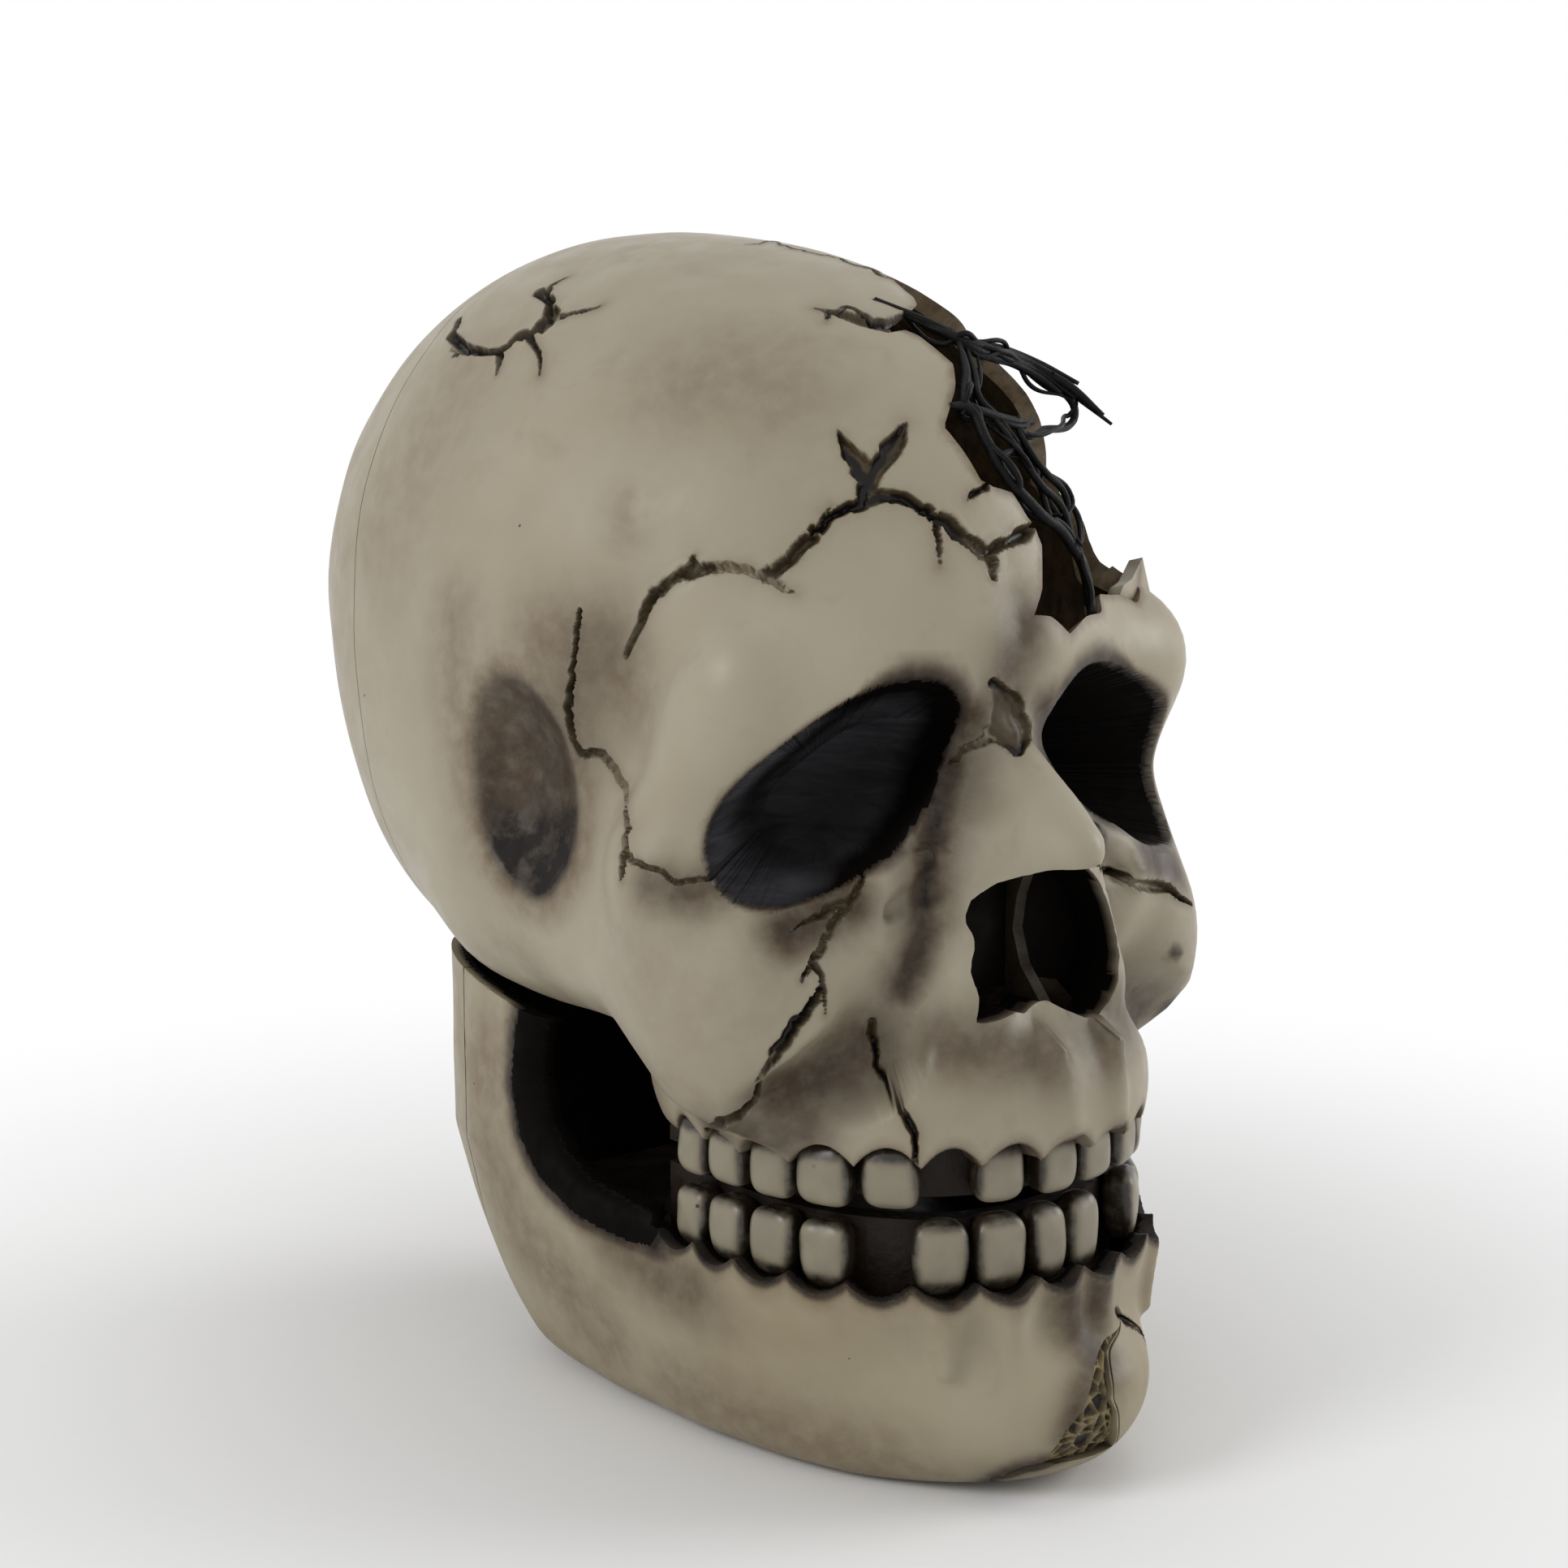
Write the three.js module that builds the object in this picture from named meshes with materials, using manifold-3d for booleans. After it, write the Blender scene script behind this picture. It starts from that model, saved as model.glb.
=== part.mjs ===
// Halloween skull decoration: a hollow moulded skull that stands on its jaw.
// Millimetres, +Z up, the face looks towards -Y and the skull's right side is -X.
// The jaw rests on the table and the cranium tilts back on a hinge at the rear.
import * as THREE from 'three';
import { mergeVertices } from 'three/addons/utils/BufferGeometryUtils.js';
import loadManifold from 'manifold-3d';

const solids = await loadManifold();
solids.setup();
const { Manifold, CrossSection } = solids;

// Walls, gaps and planes
const WALL = 3.2;
const SOCKET_WALL = 3.4;
const FIT_GAP = 0.3;
const FACET_TOLERANCE = 0.06;
const CRANIUM_SEAM_Y = 50;
const JAW_SEAM_Y = 34;
const BORDER_MID_Z = 59;
const BORDER_FRONT_Y = -48;
const BORDER_RISE_BACK = 0.18;
const BORDER_RISE_RIGHT = 0.12;
const BORDER_RISE_LEFT = 0.19;
const BORDER_GAP = 1.3;
const GUM_Z_AT_BACK = 61;
const GUM_RISE = 2;
const CRANIUM_CENTRE = [0, -15, 118];

// Dental arch: a superellipse at the front that runs straight back at the sides
const ARCH_BACK_Y = -35;
const ARCH_HALF_WIDTH = 41;
const ARCH_DEPTH = 47;
const ARCH_POWER = 2.3;

// Forms of the cranium: ellipsoids, and bars with round ends; those with an x stand on both sides
const BRAINCASE_HALF_WIDTH = 62;
const BRAINCASE_HALF_LENGTH = 76;
const BRAINCASE_HALF_HEIGHT = 70.5;
const BRAINCASE = {
  centre: [0, 33, 147.5], radii: [BRAINCASE_HALF_WIDTH, BRAINCASE_HALF_LENGTH, BRAINCASE_HALF_HEIGHT],
};
const FOREHEAD = { centre: [0, -14, 150], radii: [50, 50, 54] };
const SKULL_BASE = { centre: [0, 28, 112], radii: [53, 58, 46] };
const SIDE_PLATE = { start: [36, 14, 98], end: [43, -42, 88], startRadius: 20, endRadius: 14 };
const CHEEK = { centre: [44, -48, 85], radii: [13, 17, 24] };
const BROW = { start: [8, -58, 142], end: [43, -52, 139.5], startRadius: 5, endRadius: 6.5 };
const EYE_OUTER_RIM = { start: [45, -50, 137], end: [52.5, -37, 112], startRadius: 6, endRadius: 5.5 };
const EYE_LOWER_RIM = { start: [52, -40, 105], end: [30, -60, 101], startRadius: 5, endRadius: 4 };
const EYE_INNER_RIM = { start: [30, -60, 101], end: [12, -66, 112], startRadius: 4, endRadius: 4 };
const NOSE_BRIDGE = { start: [0, -57, 132], end: [0, -81.5, 111.5], startRadius: 5, endRadius: 5.2 };
const NOSE_WING = { start: [5, -72, 111], end: [14.5, -70, 87], startRadius: 6, endRadius: 7.5 };
const MIDFACE = { centre: [0, -44, 100], radii: [42, 28, 32] };
// The upper jaw stands a little outside the teeth all round
const UPPER_JAW_SIDE_MARGIN = 2;
const UPPER_JAW_FRONT_MARGIN = 1.5;
const UPPER_JAW_SET_BACK = 2;
const UPPER_JAW_Z = 66;
const UPPER_JAW_HALF_HEIGHT = 30;
const UPPER_JAW = {
  centre: [0, ARCH_BACK_Y - UPPER_JAW_SET_BACK, UPPER_JAW_Z],
  radii: [
    ARCH_HALF_WIDTH + UPPER_JAW_SIDE_MARGIN, ARCH_DEPTH + UPPER_JAW_FRONT_MARGIN, UPPER_JAW_HALF_HEIGHT,
  ],
};

// Distance fields: negative inside, positive outside
function ellipsoidField(p, { centre, radii }) {
  const dx = p[0] - centre[0];
  const dy = p[1] - centre[1];
  const dz = p[2] - centre[2];
  const level = Math.hypot(dx / radii[0], dy / radii[1], dz / radii[2]) + 1e-6;
  const slope = Math.hypot(dx / radii[0] ** 2, dy / radii[1] ** 2, dz / radii[2] ** 2) + 1e-9;
  return (level * (level - 1)) / slope;
}

function barField(p, { start, end, startRadius, endRadius }) {
  const axis = end.map((value, i) => value - start[i]);
  const away = p.map((value, i) => value - start[i]);
  const length2 = axis[0] ** 2 + axis[1] ** 2 + axis[2] ** 2;
  const along = (away[0] * axis[0] + away[1] * axis[1] + away[2] * axis[2]) / length2;
  const t = Math.min(1, Math.max(0, along));
  const gap = Math.hypot(away[0] - t * axis[0], away[1] - t * axis[1], away[2] - t * axis[2]);
  return gap - (startRadius + (endRadius - startRadius) * t);
}

// Lower border of the cranium: it rises to the back and to both sides
function borderZ(x, y) {
  const sideRise = x > 0 ? BORDER_RISE_LEFT : BORDER_RISE_RIGHT;
  return BORDER_MID_Z + BORDER_RISE_BACK * (y - BORDER_FRONT_Y) + sideRise * Math.abs(x);
}

function softJoin(a, b, blend) {
  const h = Math.max(blend - Math.abs(a - b), 0) / blend;
  return Math.min(a, b) - h * h * blend * 0.25;
}

function softCut(a, b, blend) {
  return -softJoin(-a, -b, blend);
}

// Cranium without its sockets; left and right sides are alike
function craniumField(p) {
  const side = [Math.abs(p[0]), p[1], p[2]];
  let d = ellipsoidField(p, BRAINCASE);
  d = softJoin(d, ellipsoidField(p, FOREHEAD), 30);
  d = softJoin(d, ellipsoidField(p, SKULL_BASE), 24);
  // Side plate from the temple to the cheek
  d = softJoin(d, barField(side, SIDE_PLATE), 20);
  d = softJoin(d, ellipsoidField(side, CHEEK), 18);
  d = softCut(d, borderZ(p[0], p[1]) - p[2], 4);
  // Brow ridge and the rims of the eye
  d = softJoin(d, barField(side, BROW), 22);
  d = softJoin(d, barField(side, EYE_OUTER_RIM), 20);
  d = softJoin(d, barField(side, EYE_LOWER_RIM), 13);
  d = softJoin(d, barField(side, EYE_INNER_RIM), 10);
  // Upper jaw, cut flat at the gums
  d = softJoin(d, ellipsoidField(p, UPPER_JAW), 10);
  const gumZ = GUM_Z_AT_BACK + (GUM_RISE * (ARCH_BACK_Y - p[1])) / ARCH_DEPTH;
  d = softCut(d, gumZ - p[2], 2);
  // Nose bridge and wings
  d = softJoin(d, barField(p, NOSE_BRIDGE), 5);
  d = softJoin(d, barField(side, NOSE_WING), 7);
  d = softJoin(d, ellipsoidField(p, MIDFACE), 8);
  return d;
}

// Jaw as a vase whose outline is a superellipse that widens upwards, with a chin
const JAW_FLARE_HEIGHT = 45;
const JAW_TOP_MARGIN = 9;
const JAW_TOP_HALF_WIDTH = ARCH_HALF_WIDTH + JAW_TOP_MARGIN;
const JAW_FOOT_INSET = 15;
const JAW_FOOT_Y = -10;
const JAW_SHIFT_BACK = 15;
const JAW_FOOT_FRONT = 66;
const JAW_FRONT_FLARE = 22;
const JAW_FOOT_REAR = 47;
const JAW_REAR_FLARE = 10;
const JAW_REAR_POWER = 3.0;
const CHIN = { centre: [0, -67, 17], radii: [25, 25, 18] };
function jawField(p) {
  const flare = Math.sqrt(Math.min(1, Math.max(0, p[2] / JAW_FLARE_HEIGHT)));
  const halfWidth = JAW_TOP_HALF_WIDTH - JAW_FOOT_INSET * (1 - flare);
  const y = p[1] - JAW_FOOT_Y - JAW_SHIFT_BACK * flare;
  const frontLength = JAW_FOOT_FRONT + JAW_FRONT_FLARE * flare;
  const rearLength = JAW_FOOT_REAR + JAW_REAR_FLARE * flare;
  const halfLength = y < 0 ? frontLength : rearLength;
  const power = y < 0 ? ARCH_POWER : JAW_REAR_POWER;
  const level = (Math.abs(p[0] / halfWidth) ** power + Math.abs(y / halfLength) ** power) ** (1 / power);
  const radius = Math.hypot(p[0], y);
  let d = radius - radius / Math.max(level, 1e-6);
  d = softJoin(d, ellipsoidField(p, CHIN), 9);
  return softCut(d, -p[2], 6);
}

// Distance along a ray to the outermost surface of a field at a given level
function reach(field, origin, direction, level, farthest) {
  const at = (t) => [0, 1, 2].map((i) => origin[i] + direction[i] * t);
  let outside = farthest;
  let t = farthest;
  while (t > 1) {
    const d = field(at(t)) - level;
    if (d < 0) break;
    outside = t;
    t -= Math.max(0.4, d * 0.6);
  }
  let inside = Math.max(t, 1);
  for (let i = 0; i < 22; i += 1) {
    const middle = (inside + outside) / 2;
    if (field(at(middle)) - level < 0) inside = middle;
    else outside = middle;
  }
  return (inside + outside) / 2;
}

// Moving between three.js geometry and solids
function bareGeometry(geometry) {
  const bare = geometry.clone();
  for (const name of Object.keys(bare.attributes)) {
    if (name !== 'position') bare.deleteAttribute(name);
  }
  return mergeVertices(bare, 1e-5);
}

function toSolid(geometry) {
  const bare = bareGeometry(geometry);
  const mesh = new solids.Mesh({
    numProp: 3,
    vertProperties: new Float32Array(bare.attributes.position.array),
    triVerts: new Uint32Array(bare.index.array),
  });
  mesh.merge();
  return new Manifold(mesh);
}

function largestPiece(solid) {
  const pieces = solid.decompose();
  pieces.sort((a, b) => b.volume() - a.volume());
  return pieces[0];
}

function toGeometry(solid) {
  const mesh = solid.getMesh();
  const geometry = new THREE.BufferGeometry();
  const positions = new Float32Array(mesh.numVert * 3);
  for (let i = 0; i < mesh.numVert; i += 1) {
    for (let k = 0; k < 3; k += 1) positions[i * 3 + k] = mesh.vertProperties[i * mesh.numProp + k];
  }
  geometry.setAttribute('position', new THREE.BufferAttribute(positions, 3));
  geometry.setIndex(new THREE.BufferAttribute(new Uint32Array(mesh.triVerts), 1));
  geometry.computeVertexNormals();
  return geometry;
}

// A ball whose vertices are moved along their rays onto a field
function starSolid(field, centre, level, detail, farthest) {
  const ball = bareGeometry(new THREE.IcosahedronGeometry(1, detail));
  const position = ball.attributes.position;
  for (let i = 0; i < position.count; i += 1) {
    const direction = new THREE.Vector3().fromBufferAttribute(position, i).normalize();
    const ray = [direction.x, direction.y, direction.z];
    const t = reach(field, centre, ray, level, farthest);
    position.setXYZ(i, centre[0] + ray[0] * t, centre[1] + ray[1] * t, centre[2] + ray[2] * t);
  }
  return toSolid(ball);
}

// A vase of horizontal rings on a field, closed at the bottom and at the top
const VASE_SIDES = 44;
function vaseSolid(field, level, heights, axisY) {
  const positions = [];
  for (const z of heights) {
    for (let k = 0; k < VASE_SIDES; k += 1) {
      const angle = (k / VASE_SIDES) * 2 * Math.PI;
      const ray = [Math.sin(angle), -Math.cos(angle), 0];
      const t = reach(field, [0, axisY, z], ray, level, 130);
      positions.push(ray[0] * t, axisY + ray[1] * t, z);
    }
  }
  const indices = [];
  for (let r = 0; r + 1 < heights.length; r += 1) {
    for (let k = 0; k < VASE_SIDES; k += 1) {
      const next = (k + 1) % VASE_SIDES;
      const a = r * VASE_SIDES + k;
      const b = r * VASE_SIDES + next;
      const c = a + VASE_SIDES;
      const d = b + VASE_SIDES;
      indices.push(a, b, d, a, d, c);
    }
  }
  const last = (heights.length - 1) * VASE_SIDES;
  const bottom = positions.length / 3;
  positions.push(0, axisY, heights[0]);
  positions.push(0, axisY, heights[heights.length - 1]);
  for (let k = 0; k < VASE_SIDES; k += 1) {
    const next = (k + 1) % VASE_SIDES;
    indices.push(bottom, next, k);
    indices.push(bottom + 1, last + k, last + next);
  }
  const geometry = new THREE.BufferGeometry();
  geometry.setAttribute('position', new THREE.Float32BufferAttribute(positions, 3));
  geometry.setIndex(indices);
  return toSolid(geometry);
}

// A ball stretched into an ellipsoid with its own axes: u, n cross u, and n
function ellipsoidSolid(centre, radii, uAxis, nAxis) {
  const u = new THREE.Vector3(...uAxis).normalize();
  const n = new THREE.Vector3(...nAxis);
  n.addScaledVector(u, -n.dot(u)).normalize();
  const w = new THREE.Vector3().crossVectors(n, u);
  const frame = new THREE.Matrix4().makeBasis(u, w, n).setPosition(...centre);
  const ball = new THREE.SphereGeometry(1, 18, 10);
  ball.scale(radii[0], radii[1], radii[2]);
  ball.applyMatrix4(frame);
  return toSolid(ball);
}

function boxSolid(low, high) {
  const size = high.map((value, i) => value - low[i]);
  const box = new THREE.BoxGeometry(size[0], size[1], size[2]);
  box.translate((low[0] + high[0]) / 2, (low[1] + high[1]) / 2, (low[2] + high[2]) / 2);
  return toSolid(box);
}

// A cylinder along X
function barrelSolid(xLow, xHigh, y, z, radius) {
  const barrel = new THREE.CylinderGeometry(radius, radius, xHigh - xLow, 36);
  barrel.rotateZ(Math.PI / 2);
  barrel.translate((xLow + xHigh) / 2, y, z);
  return toSolid(barrel);
}

// A flat outline in the (y, z) plane, extruded across the whole width
function sideProfileSolid(outline, halfWidth) {
  const shape = new THREE.Shape(outline.map(([y, z]) => new THREE.Vector2(y, z)));
  const slab = new THREE.ExtrudeGeometry(shape, { depth: 2 * halfWidth, bevelEnabled: false });
  slab.translate(0, 0, -halfWidth);
  const turn = new THREE.Matrix4().makeBasis(
    new THREE.Vector3(0, 1, 0), new THREE.Vector3(0, 0, 1), new THREE.Vector3(1, 0, 0));
  slab.applyMatrix4(turn);
  return toSolid(slab);
}

// A flat outline in the (x, z) plane, extruded from one y to another
function frontProfileSolid(outline, yLow, yHigh) {
  const shape = new THREE.Shape(outline.map(([x, z]) => new THREE.Vector2(x, z)));
  const slab = new THREE.ExtrudeGeometry(shape, { depth: yHigh - yLow, bevelEnabled: false });
  slab.rotateX(Math.PI / 2);
  slab.translate(0, yHigh, 0);
  return toSolid(slab);
}

// Materials
const material = (colour, roughness, metalness = 0) =>
  new THREE.MeshStandardMaterial({ color: colour, roughness, metalness });
const BONE = () => material(0xa29a84, 0.42);
const JAW_BONE = () => material(0x978b70, 0.42);
const TOOTH = () => material(0xa89f88, 0.4);
const GUM = () => material(0x241a13, 0.35);
const MARROW = () => material(0x4a3d2a, 0.7);
const STRAND = () => material(0x0d0b0a, 0.25);
const PIN = () => material(0x7d7f82, 0.35, 0.9);
const PLATE = () => material(0x8a7f66, 0.5);

const group = new THREE.Group();
group.name = 'halloween_skull';
function addPiece(name, solid, finish) {
  const mesh = new THREE.Mesh(toGeometry(largestPiece(solid).simplify(FACET_TOLERANCE)), finish);
  mesh.name = name;
  group.add(mesh);
  return mesh;
}

// Hinge at the rear, between the cranium's lower border and the jaw
const HINGE_Y = 56;
const HINGE_Z = 78.5;
const PIN_RADIUS = 2;
const PIN_CLEARANCE = 0.06;
const KNUCKLE_RADIUS = 4.4;
const KNUCKLE_ROOM = 5.4;
const MIDDLE_KNUCKLE = 8;
const OUTER_KNUCKLE_START = 8.5;
const OUTER_KNUCKLE_END = 20;
const KNUCKLE_SIDE_GAP = 0.5;
const KNUCKLE_WEB_HEIGHT = 6;
const KNUCKLE_WEB_DEPTH = 4.2;
const KNUCKLE_LEG = 12;
const pinHole = barrelSolid(-30, 30, HINGE_Y, HINGE_Z, PIN_RADIUS + PIN_CLEARANCE);

// Sockets and dents as ellipsoids: centre, radii, long axis and facing axis on the left side
const EYE = {
  centre: [33.5, -60, 122], radii: [25, 12.5, 30], u: [0.72, 0.42, -0.56], n: [0.42, -0.9, 0],
};
const TEMPLE = { centre: [66, -5, 118], radii: [22, 15, 14], u: [0, 0.25, 1], n: [1, 0, 0] };
function socketPair(socket, grow) {
  const radii = socket.radii.map((radius) => radius + grow);
  const left = ellipsoidSolid(socket.centre, radii, socket.u, socket.n);
  return left.add(left.mirror([1, 0, 0]));
}

// Opening of the nose, outlined from the front, and how far back it goes
const NOSE_OPENING = [
  [-4, 108.6], [-11, 105], [-16, 99], [-17.4, 92], [-17.6, 84.2], [0, 84], [7.5, 81.5],
  [16.2, 82.5], [16, 90], [15, 96], [12.8, 101.5], [8.5, 106], [4, 108.6],
];
const NOSE_BACK_Y = -66;
const NOSE_FRONT_Y = -130;
function grownOutline(outline, grow) {
  const area = THREE.ShapeUtils.area(outline.map(([x, z]) => ({ x, y: z })));
  const ring = area < 0 ? outline.slice().reverse() : outline;
  const rings = new CrossSection([ring]).offset(grow, 'Miter', 3, 0).toPolygons();
  rings.sort((a, b) => b.length - a.length);
  return rings[0];
}
const noseOpening = (grow) =>
  frontProfileSolid(grownOutline(NOSE_OPENING, grow), NOSE_FRONT_Y, NOSE_BACK_Y + grow);

// Cranium shell, hollow, with its sockets
const craniumOuter = starSolid(craniumField, CRANIUM_CENTRE, 0, 14, 170)
  .subtract(socketPair(EYE, 0))
  .subtract(noseOpening(0))
  .subtract(socketPair(TEMPLE, 0));
const craniumInner = starSolid(craniumField, CRANIUM_CENTRE, -WALL, 7, 170)
  .subtract(socketPair(EYE, SOCKET_WALL))
  .subtract(noseOpening(SOCKET_WALL))
  .subtract(socketPair(TEMPLE, SOCKET_WALL));
const craniumShell = craniumOuter.subtract(largestPiece(craniumInner));

// Broken edge of the hole in the forehead, as points on the outer surface
const HOLE_EDGE = [
  [10.7, -23.4, 207.4], [8.5, -31.4, 203.9], [2.0, -37.5, 200.9], [-5.4, -40.1, 198.7],
  [-0.6, -42.7, 196.8], [3.1, -47.6, 192.0], [-1.2, -51.8, 187.1], [-7.4, -55.5, 180.9],
  [-2.0, -60.1, 172.3], [5.1, -60.9, 169.7], [8.7, -63.0, 161.0], [6.5, -65.7, 153.5],
  [3.4, -66.9, 148.9], [12.1, -67.0, 145.0], [17.3, -65.6, 146.6], [23.5, -63.6, 147.6],
  [24.3, -62.0, 150.9], [31.2, -59.5, 150.1], [36.6, -59.2, 148.4], [41.5, -54.5, 151.0],
  [44.5, -51.0, 156.0], [45.0, -47.5, 151.5], [44.6, -40.0, 160.0], [49.6, -23.9, 172.9],
  [45.7, -27.7, 177.7], [40.7, -31.2, 182.6], [37.4, -31.4, 186.9], [34.0, -22.3, 196.1],
  [28.6, -23.2, 199.9], [24.0, -21.8, 203.2], [17.1, -19.8, 207.2],
];
const HOLE_DEPTH = 20;
const HOLE_CENTRE = new THREE.Vector3(20, -48, 180);
const HOLE_NORMAL = new THREE.Vector3(0.36, -0.7, 0.62).normalize();
const HOLE_ACROSS = new THREE.Vector3(0, 0, 1).cross(HOLE_NORMAL).normalize();
const HOLE_UP = new THREE.Vector3().crossVectors(HOLE_NORMAL, HOLE_ACROSS);
function holePrism() {
  const outline = HOLE_EDGE.map((point) => {
    const away = new THREE.Vector3(...point).sub(HOLE_CENTRE);
    return new THREE.Vector2(away.dot(HOLE_ACROSS), away.dot(HOLE_UP));
  });
  const prism = new THREE.ExtrudeGeometry(new THREE.Shape(outline), { depth: 60, bevelEnabled: false });
  prism.translate(0, 0, -HOLE_DEPTH);
  const frame = new THREE.Matrix4().makeBasis(HOLE_ACROSS, HOLE_UP, HOLE_NORMAL).setPosition(HOLE_CENTRE);
  prism.applyMatrix4(frame);
  return toSolid(prism);
}

const KNUCKLE_ROOM_END = OUTER_KNUCKLE_END + KNUCKLE_SIDE_GAP;
const knuckleRoom = barrelSolid(-KNUCKLE_ROOM_END, KNUCKLE_ROOM_END, HINGE_Y, HINGE_Z, KNUCKLE_ROOM);
const frontHalf = boxSolid([-120, -140, 20], [120, CRANIUM_SEAM_Y - FIT_GAP / 2, 260]);
const rearHalf = boxSolid([-120, CRANIUM_SEAM_Y + FIT_GAP / 2, 20], [120, 160, 260]);
const faceShell = largestPiece(
  craniumShell.intersect(frontHalf).subtract(holePrism()).subtract(knuckleRoom));
const middleKnuckle = barrelSolid(-MIDDLE_KNUCKLE, MIDDLE_KNUCKLE, HINGE_Y, HINGE_Z, KNUCKLE_RADIUS)
  .add(boxSolid(
    [-MIDDLE_KNUCKLE, HINGE_Y - 1, HINGE_Z],
    [MIDDLE_KNUCKLE, HINGE_Y + KNUCKLE_WEB_DEPTH, HINGE_Z + KNUCKLE_WEB_HEIGHT]));
const rearShell = craniumShell.intersect(rearHalf).subtract(knuckleRoom).add(middleKnuckle).subtract(pinHole);
addPiece('face_shell', faceShell, BONE());
addPiece('rear_shell', rearShell, BONE());

// Jaw shell: a vase, cut along its top edge and opened at the bottom for the base plate
const JAW_AXIS_Y = -5;
const JAW_OUTER_HEIGHTS = [0, 0.8, 2, 4, 7, 11, 16, 22, 29, 37, 45, 92];
const JAW_INNER_HEIGHTS = [3.4, 6, 11, 18, 26, 35, 45, 95];
const jawOuter = vaseSolid(jawField, 0, JAW_OUTER_HEIGHTS, JAW_AXIS_Y);
const JAW_WALL = 3.5;
const jawInner = vaseSolid(jawField, -JAW_WALL, JAW_INNER_HEIGHTS, JAW_AXIS_Y);
const MOUTH_EDGE = [
  [-120, 38.2], [-37, 38.2], [-26, 40.6], [-15, 42.8], [-5, 45.0], [2, 48.2], [6.4, 53],
  [8.6, 60], [7.4, 68], [5, 76], [5, 120], [-120, 120],
];
const mouthCut = sideProfileSolid(MOUTH_EDGE, 100);

// Everything above the border on one side, one gap lower than the cranium
function borderCut(xSign, gap) {
  const rise = xSign > 0 ? BORDER_RISE_LEFT : BORDER_RISE_RIGHT;
  const up = new THREE.Vector3(-xSign * rise, -BORDER_RISE_BACK, 1).normalize();
  const turn = new THREE.Quaternion().setFromUnitVectors(new THREE.Vector3(0, 0, 1), up);
  const block = new THREE.BoxGeometry(400, 400, 100);
  block.translate(0, 0, 50);
  block.applyQuaternion(turn);
  block.translate(0, BORDER_FRONT_Y, BORDER_MID_Z - gap);
  return toSolid(block);
}
const leftHalf = boxSolid([0, -200, -10], [200, 200, 200]);
const rightHalf = boxSolid([-200, -200, -10], [0, 200, 200]);
const aboveBorder = borderCut(1, BORDER_GAP).intersect(leftHalf)
  .add(borderCut(-1, BORDER_GAP).intersect(rightHalf));
const REAR_WALL_DROP = 4.5;
const rearWallCut = borderCut(1, BORDER_GAP + REAR_WALL_DROP).intersect(leftHalf)
  .add(borderCut(-1, BORDER_GAP + REAR_WALL_DROP).intersect(rightHalf))
  .intersect(boxSolid([-100, 51, 0], [100, 100, 200]));
const PLATE_THICKNESS = 3.2;
const jawHollow = jawOuter.subtract(jawInner).subtract(mouthCut).subtract(aboveBorder).subtract(rearWallCut);
const PLATE_CENTRE_Y = -17;
const PLATE_HALF_WIDTH = 24;
const PLATE_HALF_LENGTH = 44;
const PLATE_POWER = 2.6;
function plateSolid(inset, zLow, zHigh) {
  const outline = [];
  for (let k = 0; k < 40; k += 1) {
    const angle = (k / 40) * 2 * Math.PI;
    const across = Math.sign(Math.cos(angle)) * Math.abs(Math.cos(angle)) ** (2 / PLATE_POWER);
    const ahead = Math.sign(Math.sin(angle)) * Math.abs(Math.sin(angle)) ** (2 / PLATE_POWER);
    const x = (PLATE_HALF_WIDTH - inset) * across;
    const y = PLATE_CENTRE_Y + (PLATE_HALF_LENGTH - inset) * ahead;
    outline.push(new THREE.Vector2(x, y));
  }
  const plate = new THREE.ExtrudeGeometry(
    new THREE.Shape(outline), { depth: zHigh - zLow, bevelEnabled: false });
  plate.translate(0, 0, zLow);
  return toSolid(plate);
}
const jawShell = jawHollow.subtract(plateSolid(0, -2, PLATE_THICKNESS + 4));
const basePlate = plateSolid(FIT_GAP, 0, PLATE_THICKNESS);
addPiece('base_plate', basePlate, PLATE());

// Break in the chin: the gap, and the flake beside it, outlined from the front
const CHIN_GAP = [
  [9.6, 27.2], [4.2, 26.8], [1.4, 25.6], [-1.8, 23.6], [-4.2, 20.8], [-6.2, 17.8], [-8.8, 15],
  [-10, 10.6], [-9, 7.5], [5.5, 7.2], [2.2, 13.4], [1.9, 15.9], [0.4, 18.4], [1.0, 22.0],
  [2.9, 25.0], [5.4, 26.0],
];
const CHIN_FLAKE = [
  [10.2, 28.6], [13, 27.1], [18, 23.4], [21, 19.5], [21, 14], [17, 9], [11, 7.4], [6.1, 7.4],
  [2.8, 13.4], [2.5, 16.0], [1.0, 18.5], [1.6, 21.8], [3.3, 24.5], [5.6, 25.6], [10.0, 26.8],
];
const CHIN_FRONT_Y = -100;
const CHIN_GAP_BACK_Y = -76;
const MARROW_FACE = 1.4;
const gapPrism = frontProfileSolid(grownOutline(CHIN_GAP, 0), CHIN_FRONT_Y, CHIN_GAP_BACK_Y);
const flakeRoom = frontProfileSolid(grownOutline(CHIN_FLAKE, FIT_GAP), CHIN_FRONT_Y, CHIN_GAP_BACK_Y);
const flakePrism = frontProfileSolid(grownOutline(CHIN_FLAKE, 0), CHIN_FRONT_Y, CHIN_GAP_BACK_Y);
const marrowPrism = frontProfileSolid(grownOutline(CHIN_GAP, -FIT_GAP), CHIN_FRONT_Y, CHIN_GAP_BACK_Y - 2);
const jawFrontHalf = boxSolid([-120, -140, -5], [120, JAW_SEAM_Y - FIT_GAP / 2, 120]);
const jawRearHalf = boxSolid([-120, JAW_SEAM_Y + FIT_GAP / 2, -5], [120, 140, 120]);
const jawFront = jawShell.intersect(jawFrontHalf).subtract(gapPrism).subtract(flakeRoom);
const chinChip = jawShell.intersect(flakePrism);
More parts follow.
